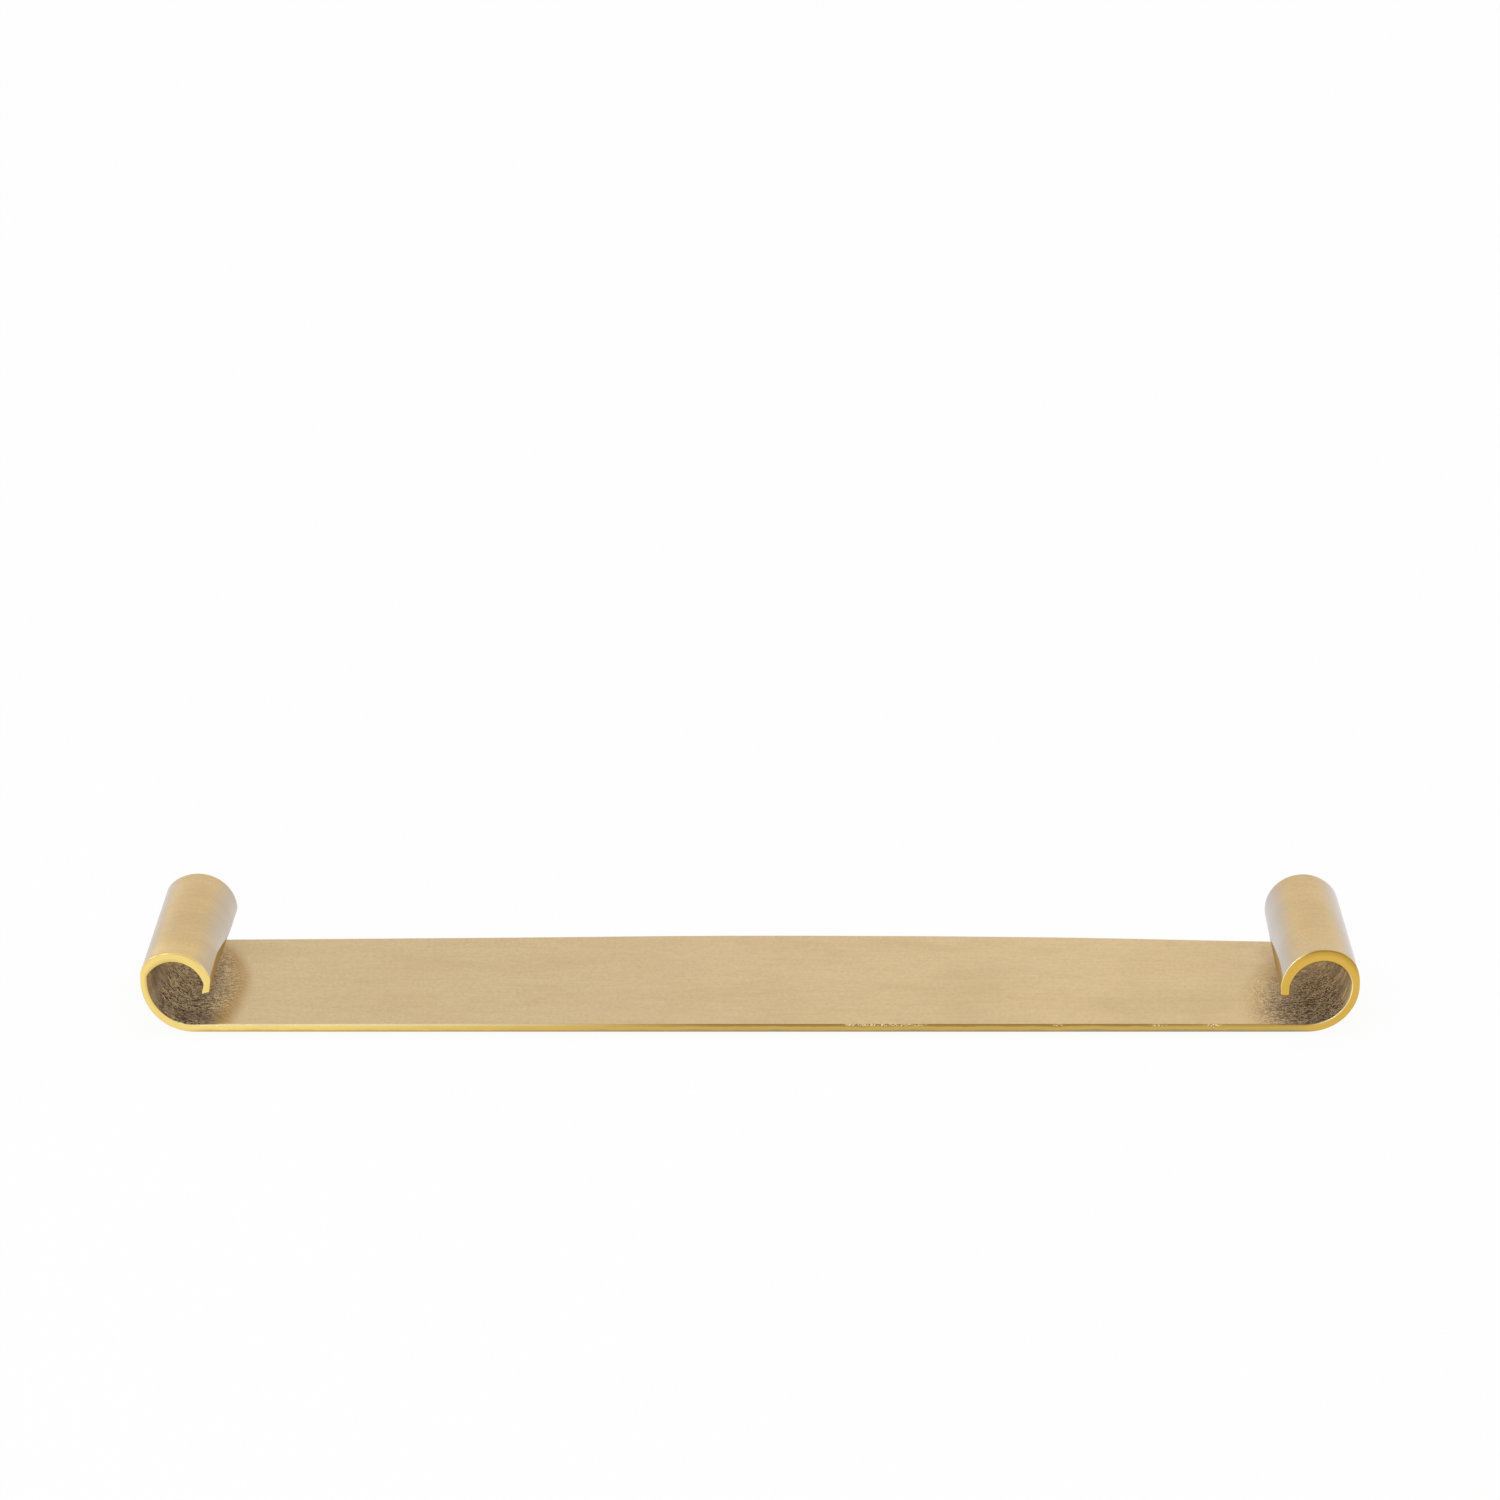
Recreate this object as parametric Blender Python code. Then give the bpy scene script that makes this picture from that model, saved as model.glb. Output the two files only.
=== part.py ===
"""Decorative cast tray: a long shallow plate whose two ends roll up and inwards.

Metres, +Z up. X runs along the tray, Y from its front edge to its back edge.
The origin lies on the table, under the middle of the tray's bounding box.
In a roll's section, "inset" is measured inwards from the roll's outermost line and
"rise" upwards from the underside of the plate.
"""

import math
from collections import namedtuple

import bmesh
import bpy

# Plate
LENGTH = 0.600
DEPTH = 0.1276
PLATE_THICKNESS = 0.0041

# How much less deep than in the middle the plate is, towards its ends
LEFT_END_NARROWING = 0.0061
LEFT_QUARTER_NARROWING = 0.0034
RIGHT_QUARTER_NARROWING = 0.0024
RIGHT_END_NARROWING = 0.0101

# Left roll
LEFT_FRONT_WIDTH = 0.0346
LEFT_BACK_WIDTH = 0.0360
LEFT_SPLAY = 0.0002
LEFT_DRAFT = 0.0019
LEFT_HEIGHT = 0.0408
LEFT_FRONT_CROWN_INSET = 0.0154
LEFT_BACK_CROWN_INSET = 0.0164
LEFT_FRONT_SHOULDER_POWER = 2.0
LEFT_BACK_SHOULDER_POWER = 1.9
LEFT_FOOT_INSET = 0.0262
LEFT_CURL_RISE = 0.0263
LEFT_PARTING_RISE = 0.0288
LEFT_SIDE_WALL = 0.0035
LEFT_CROWN_WALL = 0.0050
LEFT_CORE_CROWN_SHIFT = 0.0006
LEFT_LIP_RISE = 0.0205
LEFT_LIP_END_DROP = 0.0010
LEFT_LIP_LEAN = 0.0008
LEFT_LIP_FACET = 0.0063
LEFT_LIP_ROOT = 0.0038

# Right roll
RIGHT_FRONT_WIDTH = 0.0389
RIGHT_BACK_WIDTH = 0.0372
RIGHT_SPLAY = 0.0001
RIGHT_DRAFT = 0.0026
RIGHT_HEIGHT = 0.0419
RIGHT_FRONT_CROWN_INSET = 0.0181
RIGHT_BACK_CROWN_INSET = 0.0183
RIGHT_FRONT_SHOULDER_POWER = 2.3
RIGHT_BACK_SHOULDER_POWER = 1.95
RIGHT_FOOT_INSET = 0.0258
RIGHT_CURL_RISE = 0.0240
RIGHT_PARTING_RISE = 0.0246
RIGHT_SIDE_WALL = 0.0040
RIGHT_CROWN_WALL = 0.0058
RIGHT_CORE_CROWN_SHIFT = -0.0006
RIGHT_LIP_RISE = 0.0188
RIGHT_LIP_END_DROP = 0.0000
RIGHT_LIP_LEAN = 0.0003
RIGHT_LIP_FACET = 0.0040
RIGHT_LIP_ROOT = 0.0047

# Free edge of both rolls
LIP_THICKNESS = 0.0042
LIP_INNER_FACET = 0.0048
EDGE_ROUNDING = 0.0006

# Felt pads under the plate
PAD_DIAMETER = 0.0140
PAD_THICKNESS = 0.0015
PAD_ADHESIVE = 0.0003
PAD_EDGE_ROUNDING = 0.0003
PAD_END_INSET = 0.0460
PAD_EDGE_INSET = 0.0160

# Fineness of the curves
ARC_STEPS = 12
LIP_STEPS = 2
PLATE_STEPS = 28
ROUNDING_STEPS = 2
PAD_SIDES = 40
SMOOTH_ANGLE = math.radians(32)

# Colours, linear RGB
BRASS_COLOUR = (0.52, 0.36, 0.16)
BRASS_ROUGHNESS = 0.32
FELT_COLOUR = (0.055, 0.034, 0.022)
FELT_ROUGHNESS = 0.95

PLATE_BASE = PAD_THICKNESS + PAD_ADHESIVE

Roll = namedtuple(
    "Roll",
    "side front_width back_width splay draft height front_crown_inset back_crown_inset "
    "front_shoulder_power back_shoulder_power foot_inset curl_rise parting_rise side_wall "
    "crown_wall core_crown_shift lip_rise lip_end_drop lip_lean lip_facet lip_root",
)

LEFT_ROLL = Roll(
    side=-1,
    front_width=LEFT_FRONT_WIDTH,
    back_width=LEFT_BACK_WIDTH,
    splay=LEFT_SPLAY,
    draft=LEFT_DRAFT,
    height=LEFT_HEIGHT,
    front_crown_inset=LEFT_FRONT_CROWN_INSET,
    back_crown_inset=LEFT_BACK_CROWN_INSET,
    front_shoulder_power=LEFT_FRONT_SHOULDER_POWER,
    back_shoulder_power=LEFT_BACK_SHOULDER_POWER,
    foot_inset=LEFT_FOOT_INSET,
    curl_rise=LEFT_CURL_RISE,
    parting_rise=LEFT_PARTING_RISE,
    side_wall=LEFT_SIDE_WALL,
    crown_wall=LEFT_CROWN_WALL,
    core_crown_shift=LEFT_CORE_CROWN_SHIFT,
    lip_rise=LEFT_LIP_RISE,
    lip_end_drop=LEFT_LIP_END_DROP,
    lip_lean=LEFT_LIP_LEAN,
    lip_facet=LEFT_LIP_FACET,
    lip_root=LEFT_LIP_ROOT,
)

RIGHT_ROLL = Roll(
    side=1,
    front_width=RIGHT_FRONT_WIDTH,
    back_width=RIGHT_BACK_WIDTH,
    splay=RIGHT_SPLAY,
    draft=RIGHT_DRAFT,
    height=RIGHT_HEIGHT,
    front_crown_inset=RIGHT_FRONT_CROWN_INSET,
    back_crown_inset=RIGHT_BACK_CROWN_INSET,
    front_shoulder_power=RIGHT_FRONT_SHOULDER_POWER,
    back_shoulder_power=RIGHT_BACK_SHOULDER_POWER,
    foot_inset=RIGHT_FOOT_INSET,
    curl_rise=RIGHT_CURL_RISE,
    parting_rise=RIGHT_PARTING_RISE,
    side_wall=RIGHT_SIDE_WALL,
    crown_wall=RIGHT_CROWN_WALL,
    core_crown_shift=RIGHT_CORE_CROWN_SHIFT,
    lip_rise=RIGHT_LIP_RISE,
    lip_end_drop=RIGHT_LIP_END_DROP,
    lip_lean=RIGHT_LIP_LEAN,
    lip_facet=RIGHT_LIP_FACET,
    lip_root=RIGHT_LIP_ROOT,
)


# Outline of a roll, from its lip to the foot where the plate begins


def straight(start, end, steps):
    """Points from start up to, and without, end."""
    return [
        (
            start[0] + (end[0] - start[0]) * i / steps,
            start[1] + (end[1] - start[1]) * i / steps,
        )
        for i in range(steps)
    ]


def arc_to_crown(start, crown, steps):
    """Circular arc from start up to, and without, a crown where it runs level."""
    run = crown[0] - start[0]
    drop = crown[1] - start[1]
    radius = (run * run + drop * drop) / (2 * drop)
    sweep = 2 * math.atan2(drop, abs(run))
    points = []
    for i in range(steps):
        angle = sweep * (1 - i / steps)
        inset = crown[0] - math.copysign(radius * math.sin(angle), run)
        points.append((inset, crown[1] - radius * (1 - math.cos(angle))))
    return points


def shoulder(crown, side, power, steps):
    """Quarter of a superellipse from the crown down to, and without, the upright side."""
    points = []
    for i in range(steps):
        angle = math.pi / 2 * i / steps
        across = math.sin(angle) ** (2 / power)
        up = math.cos(angle) ** (2 / power)
        points.append(
            (
                crown[0] - (crown[0] - side[0]) * across,
                side[1] + (crown[1] - side[1]) * up,
            )
        )
    return points


def side_and_curl(parting, curl_rise, foot, steps):
    """Upright side below the parting, then a quarter of an ellipse down to the foot.

    The foot itself is left out, because the plate begins there.
    """
    top = min(curl_rise, parting[1])
    points = [parting] if top < parting[1] else []
    for i in range(steps):
        angle = math.pi / 2 * i / steps
        inset = foot[0] - (foot[0] - parting[0]) * math.cos(angle)
        points.append((inset, top - (top - foot[1]) * math.sin(angle)))
    return points


def between(front, back, toward_back):
    return front + (back - front) * toward_back


def roll_width(roll, toward_back):
    return between(roll.front_width, roll.back_width, toward_back)


def crown_inset(roll, toward_back):
    return between(roll.front_crown_inset, roll.back_crown_inset, toward_back)


def outer_outline(roll, toward_back):
    """Outside of the wall, from the end of the lip to the foot."""
    width = roll_width(roll, toward_back)
    lip_end = (width - roll.lip_lean, roll.lip_rise)
    lip_corner = (width, roll.lip_rise + roll.lip_facet)
    crown = (crown_inset(roll, toward_back), roll.height)
    power = between(roll.front_shoulder_power, roll.back_shoulder_power, toward_back)
    parting = (0.0, roll.parting_rise)
    foot = (roll.foot_inset, 0.0)
    return (
        straight(lip_end, lip_corner, LIP_STEPS)
        + arc_to_crown(lip_corner, crown, ARC_STEPS)
        + shoulder(crown, parting, power, ARC_STEPS)
        + side_and_curl(parting, roll.curl_rise, foot, ARC_STEPS)
    )


def inner_outline(roll, toward_back):
    """Inside of the wall. Its two halves meet in a corner where the mould parted."""
    width = roll_width(roll, toward_back)
    lip_end = (
        width - roll.lip_lean - LIP_THICKNESS,
        roll.lip_rise - roll.lip_end_drop,
    )
    lip_corner = (width - roll.lip_root, lip_end[1] + LIP_INNER_FACET)
    crown = (
        crown_inset(roll, toward_back) + roll.core_crown_shift,
        roll.height - roll.crown_wall,
    )
    parting = (roll.side_wall, roll.parting_rise)
    foot = (roll.foot_inset, PLATE_THICKNESS)
    up_to_crown = arc_to_crown(parting, crown, ARC_STEPS) + [crown]
    return (
        straight(lip_end, lip_corner, LIP_STEPS)
        + arc_to_crown(lip_corner, crown, ARC_STEPS)
        + up_to_crown[:0:-1]
        + side_and_curl(parting, roll.curl_rise, foot, ARC_STEPS)
    )


def outermost(roll, toward_back):
    """Distance of the roll's outermost line from the middle of the tray."""
    return LENGTH / 2 - max(roll.splay, 0.0) + roll.splay * toward_back


def draft_at(roll, rise):
    """How far each end of the roll leans in from the plate's edge at this rise."""
    climb = (rise - PLATE_THICKNESS) / (roll.height - PLATE_THICKNESS)
    return roll.draft * max(climb, 0.0)


def roll_points(roll, outline, toward_back):
    """A roll's outline as points in space, from the lip to the foot."""
    points = []
    for inset, rise in outline(roll, toward_back):
        x = roll.side * (outermost(roll, toward_back) - inset)
        lean = draft_at(roll, rise)
        y = between(front_edge() + lean, back_edge(x) - lean, toward_back)
        points.append((x, y, PLATE_BASE + rise))
    return points


def foot_x(roll, toward_back):
    return roll.side * (outermost(roll, toward_back) - roll.foot_inset)


def plate_points(rise, toward_back):
    """Points across the plate, from the left roll's foot to the right one's."""
    left = foot_x(LEFT_ROLL, toward_back)
    right = foot_x(RIGHT_ROLL, toward_back)
    points = []
    for i in range(PLATE_STEPS + 1):
        x = left + (right - left) * i / PLATE_STEPS
        y = between(front_edge(), back_edge(x), toward_back)
        points.append((x, y, PLATE_BASE + rise))
    return points


def tray_outline(outline, rise, toward_back):
    """Whole outline on one face of the metal, from the left lip to the right lip."""
    left = roll_points(LEFT_ROLL, outline, toward_back)
    right = roll_points(RIGHT_ROLL, outline, toward_back)
    return left + plate_points(rise, toward_back) + right[::-1]


# Plan of the tray: the front edge is straight and the back edge bows out


def depth_at(x):
    """Depth of the tray at x, on a smooth curve through the depths at five places."""
    depths = (
        DEPTH - LEFT_END_NARROWING,
        DEPTH - LEFT_QUARTER_NARROWING,
        DEPTH,
        DEPTH - RIGHT_QUARTER_NARROWING,
        DEPTH - RIGHT_END_NARROWING,
    )
    spans = len(depths) - 1
    place = min(max((x / LENGTH + 0.5) * spans, 0.0), spans)
    first = min(int(place), spans - 1)
    part = place - first
    before = depths[max(first - 1, 0)]
    start = depths[first]
    end = depths[first + 1]
    after = depths[min(first + 2, spans)]
    start_slope = (end - before) / 2
    end_slope = (after - start) / 2
    return (
        start * (1 + 2 * part) * (1 - part) ** 2
        + start_slope * part * (1 - part) ** 2
        + end * part**2 * (3 - 2 * part)
        + end_slope * part**2 * (part - 1)
    )


def overall_depth():
    left = foot_x(LEFT_ROLL, 1.0)
    right = foot_x(RIGHT_ROLL, 1.0)
    xs = [left + (right - left) * i / PLATE_STEPS for i in range(PLATE_STEPS + 1)]
    return max(depth_at(x) for x in xs)


def front_edge():
    return -overall_depth() / 2


def back_edge(x):
    return front_edge() + depth_at(x)


# Solids


def new_object(name, mesh_builder, material):
    mesh = bpy.data.meshes.new(name)
    built = bmesh.new()
    mesh_builder(built)
    bmesh.ops.recalc_face_normals(built, faces=built.faces)
    built.to_mesh(mesh)
    built.free()
    mesh.materials.append(material)
    mesh.shade_smooth()
    mesh.set_sharp_from_angle(angle=SMOOTH_ANGLE)
    made = bpy.data.objects.new(name, mesh)
    bpy.context.scene.collection.objects.link(made)
    return made


def section_vertices(built, toward_back):
    """Two rows of vertices, outer and inner, on the front or the back end of the metal."""
    outer = tray_outline(outer_outline, 0.0, toward_back)
    inner = tray_outline(inner_outline, PLATE_THICKNESS, toward_back)
    return [[built.verts.new(point) for point in row] for row in (outer, inner)]


def build_tray(built):
    front_outer, front_inner = section_vertices(built, 0.0)
    back_outer, back_inner = section_vertices(built, 1.0)
    skins = (
        (front_outer, back_outer),
        (back_outer, back_inner),
        (back_inner, front_inner),
        (front_inner, front_outer),
    )
    for row, next_row in skins:
        for i in range(len(row) - 1):
            built.faces.new((row[i], row[i + 1], next_row[i + 1], next_row[i]))
    for i in (0, -1):
        built.faces.new((front_outer[i], back_outer[i], back_inner[i], front_inner[i]))
    round_edges(built, (front_outer, front_inner, back_outer, back_inner))


def round_edges(built, rows):
    """Round the edges along both ends of the metal and along the two free lips."""
    corners = {vertex for row in rows for vertex in (row[0], row[-1])}
    rims = []
    for row in rows:
        rims += [built.edges.get((row[i], row[i + 1])) for i in range(len(row) - 1)]
    lips = [edge for edge in built.edges if corners.issuperset(edge.verts)]
    bmesh.ops.bevel(
        built,
        geom=rims + lips,
        offset=EDGE_ROUNDING,
        offset_type="OFFSET",
        segments=ROUNDING_STEPS,
        profile=0.5,
        affect="EDGES",
        clamp_overlap=True,
    )


def build_pad(built):
    bmesh.ops.create_cone(
        built,
        cap_ends=True,
        segments=PAD_SIDES,
        radius1=PAD_DIAMETER / 2,
        radius2=PAD_DIAMETER / 2,
        depth=PAD_THICKNESS,
    )
    rims = [edge for edge in built.edges if edge.verts[0].co.z * edge.verts[1].co.z > 0]
    bmesh.ops.bevel(
        built,
        geom=rims,
        offset=PAD_EDGE_ROUNDING,
        segments=ROUNDING_STEPS,
        profile=0.5,
        affect="EDGES",
    )


def pad_places():
    """Name and place of each pad, set in from the ends and from the long edges."""
    places = []
    for side_name, side in (("left", -1), ("right", 1)):
        x = side * (LENGTH / 2 - PAD_END_INSET)
        places.append((f"felt_pad_front_{side_name}", x, front_edge() + PAD_EDGE_INSET))
        places.append((f"felt_pad_back_{side_name}", x, back_edge(x) - PAD_EDGE_INSET))
    return places


def new_material(name, colour, roughness, metallic):
    material = bpy.data.materials.new(name)
    material.use_nodes = True
    shader = material.node_tree.nodes["Principled BSDF"]
    shader.inputs["Base Color"].default_value = (*colour, 1.0)
    shader.inputs["Roughness"].default_value = roughness
    shader.inputs["Metallic"].default_value = metallic
    return material


def clear_scene():
    for thing in list(bpy.data.objects):
        bpy.data.objects.remove(thing, do_unlink=True)


def main():
    clear_scene()
    brass = new_material("cast_brass", BRASS_COLOUR, BRASS_ROUGHNESS, metallic=1.0)
    felt = new_material("felt", FELT_COLOUR, FELT_ROUGHNESS, metallic=0.0)
    tray = new_object("tray_body", build_tray, brass)
    for name, x, y in pad_places():
        pad = new_object(name, build_pad, felt)
        pad.location = (x, y, PAD_THICKNESS / 2)
        pad.parent = tray


main()
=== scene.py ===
import math
from collections import namedtuple

import bmesh
import bpy
import numpy as np
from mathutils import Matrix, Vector


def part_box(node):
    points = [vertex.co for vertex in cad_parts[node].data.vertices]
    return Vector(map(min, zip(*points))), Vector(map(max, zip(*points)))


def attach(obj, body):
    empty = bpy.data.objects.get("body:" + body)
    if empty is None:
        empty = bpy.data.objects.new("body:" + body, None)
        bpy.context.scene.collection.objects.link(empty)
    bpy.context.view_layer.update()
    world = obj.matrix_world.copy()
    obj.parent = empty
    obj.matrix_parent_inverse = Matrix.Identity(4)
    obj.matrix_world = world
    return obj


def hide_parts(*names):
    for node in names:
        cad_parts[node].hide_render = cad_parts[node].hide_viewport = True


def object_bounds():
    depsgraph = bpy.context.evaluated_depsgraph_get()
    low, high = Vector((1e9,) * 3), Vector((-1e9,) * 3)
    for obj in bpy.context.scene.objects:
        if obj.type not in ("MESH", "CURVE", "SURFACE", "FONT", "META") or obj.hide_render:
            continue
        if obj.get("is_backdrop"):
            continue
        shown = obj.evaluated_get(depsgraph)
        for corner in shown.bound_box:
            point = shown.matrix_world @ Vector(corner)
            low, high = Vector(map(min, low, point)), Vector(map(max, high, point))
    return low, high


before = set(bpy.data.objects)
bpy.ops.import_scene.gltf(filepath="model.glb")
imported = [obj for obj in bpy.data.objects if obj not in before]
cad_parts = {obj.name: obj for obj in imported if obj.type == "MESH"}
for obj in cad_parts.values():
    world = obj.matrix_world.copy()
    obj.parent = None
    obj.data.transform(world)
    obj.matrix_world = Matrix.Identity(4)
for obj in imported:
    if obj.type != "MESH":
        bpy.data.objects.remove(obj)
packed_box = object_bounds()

# Sizes of the casting in metres, the same as in the part's source

LENGTH = 0.600
DEPTH = 0.1276
# How much less deep the tray is at its left end, left quarter, middle, right quarter, right end
NARROWINGS = (0.0061, 0.0034, 0.0, 0.0024, 0.0101)
PLATE_THICKNESS = 0.0041
PLATE_BASE = 0.0018
EDGE_ROUNDING = 0.0006
LIP_THICKNESS = 0.0042
LIP_INNER_FACET = 0.0048

# Each size is given for the left roll and then for the right roll. Where a roll has two values,
# they are at its front and at its back, and where it has more, at even steps from front to back:
# lip_facets are the heights of the filed strip along the lip, lip_tones how high its bronze tone
# reaches, and skin_edges how far from the middle of the tray the raw cast skin ends
ROLL_SIZES = {
    "side": (-1, 1),
    "widths": ((0.0346, 0.0360), (0.0389, 0.0372)),
    "splay": (0.0002, 0.0001),
    "draft": (0.0019, 0.0026),
    "height": (0.0408, 0.0419),
    "crown_insets": ((0.0154, 0.0164), (0.0181, 0.0183)),
    "shoulder_powers": ((2.0, 1.9), (2.3, 1.95)),
    "foot_inset": (0.0262, 0.0258),
    "curl_rise": (0.0263, 0.0240),
    "parting_rise": (0.0288, 0.0246),
    "side_wall": (0.0035, 0.0040),
    "crown_wall": (0.0050, 0.0058),
    "core_crown_shift": (0.0006, -0.0006),
    "lip_rise": (0.0205, 0.0188),
    "lip_end_drop": (0.0010, 0.0),
    "lip_lean": (0.0008, 0.0003),
    "lip_root": (0.0038, 0.0047),
    "lip_facets": (
        (0.0063, 0.0086, 0.0092, 0.0072, 0.0046, 0.0018, 0.0010, 0.0010, 0.0010),
        (0.0045, 0.0068, 0.0080, 0.0068, 0.0042, 0.0018, 0.0010, 0.0010, 0.0010),
    ),
    "lip_tones": (
        (0.0074, 0.0090, 0.0094, 0.0073, 0.0046, 0.0015, -0.0010, -0.0010, -0.0010),
        (0.0085, 0.0097, 0.0095, 0.0077, 0.0048, 0.0019, -0.0001, -0.0010, -0.0010),
    ),
    "skin_edges": (
        (0.2625, 0.2595, 0.2590, 0.2650, 0.2780),
        (0.2530, 0.2530, 0.2565, 0.2690, 0.2800),
    ),
    "skin_fade": (0.012, 0.014),
}
Roll = namedtuple("Roll", ROLL_SIZES)
LEFT_ROLL, RIGHT_ROLL = (Roll(*sizes) for sizes in zip(*ROLL_SIZES.values()))
SKIN_FADE_OUT = 0.010

# Fineness of the wall
SECTIONS = 33
LIP_STEPS = 6
CROWN_STEPS = 30
SHOULDER_STEPS = 28
CURL_STEPS = 44
ROUND_STEPS = 4
FACE_STEPS = 3
DEPTH_STEPS = 100
SKIN_PLATE_STEPS = 24
SKIN_PLATE_LENGTH = 0.030
PLATE_STEPS = 56
CORNER_ANGLE = math.radians(32)

# Inputs of the wall's node tree. The raw skin's relief starts a little way from the rolls' ends
LOOP_DEPTH = 0.120
LOOP_WALL = 0.0041
WALL_SIZES = {
    "Edge rounding": EDGE_ROUNDING,
    "Loop depth": LOOP_DEPTH,
    "Loop wall": LOOP_WALL,
    "Skin relief": 0.00012,
    "Skin lump size": 0.0045,
}
SKIN_SEED = 7
SKIN_FROM_ENDS = (0.0008, 0.006)
SKIN_NOISE = {"Detail": 3.0, "Roughness": 0.55, "Distortion": 0.6}
# Noise keeps within about a quarter of its middle, and this makes it fill -1 to 1
NOISE_TO_FULL = 4.0
# A face whose edge mark is above this is polished. The mark is 1 on the rim and 0 off it
EDGE_MARK = 0.9

# Smoother band on the inside of each roll's side wall, and how far its borders fade
SMOOTH_SIDE_REACH = 0.0095
SMOOTH_SIDE_LOW = 0.0085
SMOOTH_SIDE_HIGH = 0.0400
SMOOTH_SIDE_FADE_OUT = 0.003
SMOOTH_SIDE_FADE_UP = 0.004

# Bronze tone along the lips: a margin well off them, and the height that only they reach
STRIP_OFF = -0.010
LIP_LOWEST = 0.015

# Felt pads
PAD_SIDES = 72
PAD_RINGS = (0.0, 0.25, 0.5, 0.7, 0.85, 0.95)
PAD_RIM_STEPS = 5
PAD_SOFT_SHARE = 0.22
PAD_HOLLOW = 0.00008
PAD_WOBBLE = 0.006
# Waves round a pad, how far they turn with its height and how they differ from pad to pad
PAD_WAVES = (3, 7)
PAD_WAVE_TURN = 900
PAD_WAVE_SHIFT = 40
PAD_FUZZ = 0.0002
FIBRE_SIZES = {
    "Fibres per square metre": 9000000.0,
    "Fibre length": 0.0009,
    "Fibre radius": 0.000018,
}
FIRST_FIBRE_SEED = 3
FIBRE_POINTS = 4
FIBRE_SIDES = 3
FIBRE_TURNS = (0.3, 0.3, 6.283)
FIBRE_STRETCH = (0.6, 1.2)
BOW_SIDEWAYS = 0.35
BOW_UP = 0.25
UPRIGHT_FACES = 0.5


# Outline of a roll in its section: inset inwards from its outermost line, and rise


def between(start, end, share):
    return start + (end - start) * share


def quarter_turn(steps):
    """Angles at even steps through a quarter turn, with both its ends."""
    return [math.pi / 2 * i / steps for i in range(steps + 1)]


def lip_stops(start, end):
    """Points up the lip: close ones where its end is rounded, then even ones."""
    first = EDGE_ROUNDING / math.dist(start, end)
    shares = [first * (1 - math.sin(angle)) for angle in quarter_turn(ROUND_STEPS)[:0:-1]]
    shares += [between(first, 1, i / LIP_STEPS) for i in range(LIP_STEPS)]
    return [(between(start[0], end[0], s), between(start[1], end[1], s)) for s in shares]


def arc_to_crown(start, crown):
    """Circular arc from start up to, and without, a crown where it runs level."""
    run = crown[0] - start[0]
    climb = crown[1] - start[1]
    radius = (run * run + climb * climb) / (2 * climb)
    sweep = 2 * math.atan2(climb, abs(run))
    points = []
    for i in range(CROWN_STEPS):
        angle = sweep * (1 - i / CROWN_STEPS)
        inset = crown[0] - math.copysign(radius * math.sin(angle), run)
        points.append((inset, crown[1] - radius * (1 - math.cos(angle))))
    return points


def shoulder(crown, side, power):
    """Quarter of a superellipse from the crown down to, and without, the upright side."""
    points = []
    for angle in quarter_turn(SHOULDER_STEPS)[:-1]:
        across = math.sin(angle) ** (2 / power)
        up = math.cos(angle) ** (2 / power)
        points.append((between(crown[0], side[0], across), between(side[1], crown[1], up)))
    return points


def arc_to_side(crown, side):
    """The inside of the wall from its crown down to, and without, the mould's parting."""
    downward = np.array([crown, *arc_to_crown(side, crown)[::-1]])
    places = np.arange(len(downward))
    picks = np.linspace(0, len(downward) - 1, SHOULDER_STEPS + 1)[:-1]
    return list(zip(*(np.interp(picks, places, line) for line in downward.T)))


def curl(parting, curl_rise, foot):
    """From the parting down the upright side and round to, and without, the foot."""
    top = min(curl_rise, parting[1])
    points = [parting]
    for i in range(CURL_STEPS):
        angle = math.pi / 2 * (i + 0.5) / CURL_STEPS
        inset = foot[0] - (foot[0] - parting[0]) * math.cos(angle)
        points.append((inset, top - (top - foot[1]) * math.sin(angle)))
    return points


def spread(values, share):
    """Value at this share of the way along a smooth curve through values at even steps."""
    spans = len(values) - 1
    place = min(max(share * spans, 0.0), spans)
    first = min(int(place), spans - 1)
    part = place - first
    start = values[first]
    end = values[first + 1]
    start_slope = (end - values[max(first - 1, 0)]) / 2
    end_slope = (values[min(first + 2, spans)] - start) / 2
    return (
        start * (1 + 2 * part) * (1 - part) ** 2
        + start_slope * part * (1 - part) ** 2
        + end * part**2 * (3 - 2 * part)
        + end_slope * part**2 * (part - 1)
    )


def roll_outlines(roll, toward_back):
    """Outside and inside of the wall from the end of the lip to the foot."""
    width = between(*roll.widths, toward_back)
    crown_inset = between(*roll.crown_insets, toward_back)
    lip_end = (width - roll.lip_lean, roll.lip_rise)
    lip_corner = (width, roll.lip_rise + spread(roll.lip_facets, toward_back))
    crown = (crown_inset, roll.height)
    parting = (0.0, roll.parting_rise)
    outer = (
        lip_stops(lip_end, lip_corner)
        + arc_to_crown(lip_corner, crown)
        + shoulder(crown, parting, between(*roll.shoulder_powers, toward_back))
        + curl(parting, roll.curl_rise, (roll.foot_inset, 0.0))
    )
    core_end = (width - roll.lip_lean - LIP_THICKNESS, roll.lip_rise - roll.lip_end_drop)
    core_corner = (width - roll.lip_root, core_end[1] + LIP_INNER_FACET)
    core_crown = (crown_inset + roll.core_crown_shift, roll.height - roll.crown_wall)
    core_parting = (roll.side_wall, roll.parting_rise)
    inner = (
        lip_stops(core_end, core_corner)
        + arc_to_crown(core_corner, core_crown)
        + arc_to_side(core_crown, core_parting)
        + curl(core_parting, roll.curl_rise, (roll.foot_inset, PLATE_THICKNESS))
    )
    return outer, inner


# The whole wall in space

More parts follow.
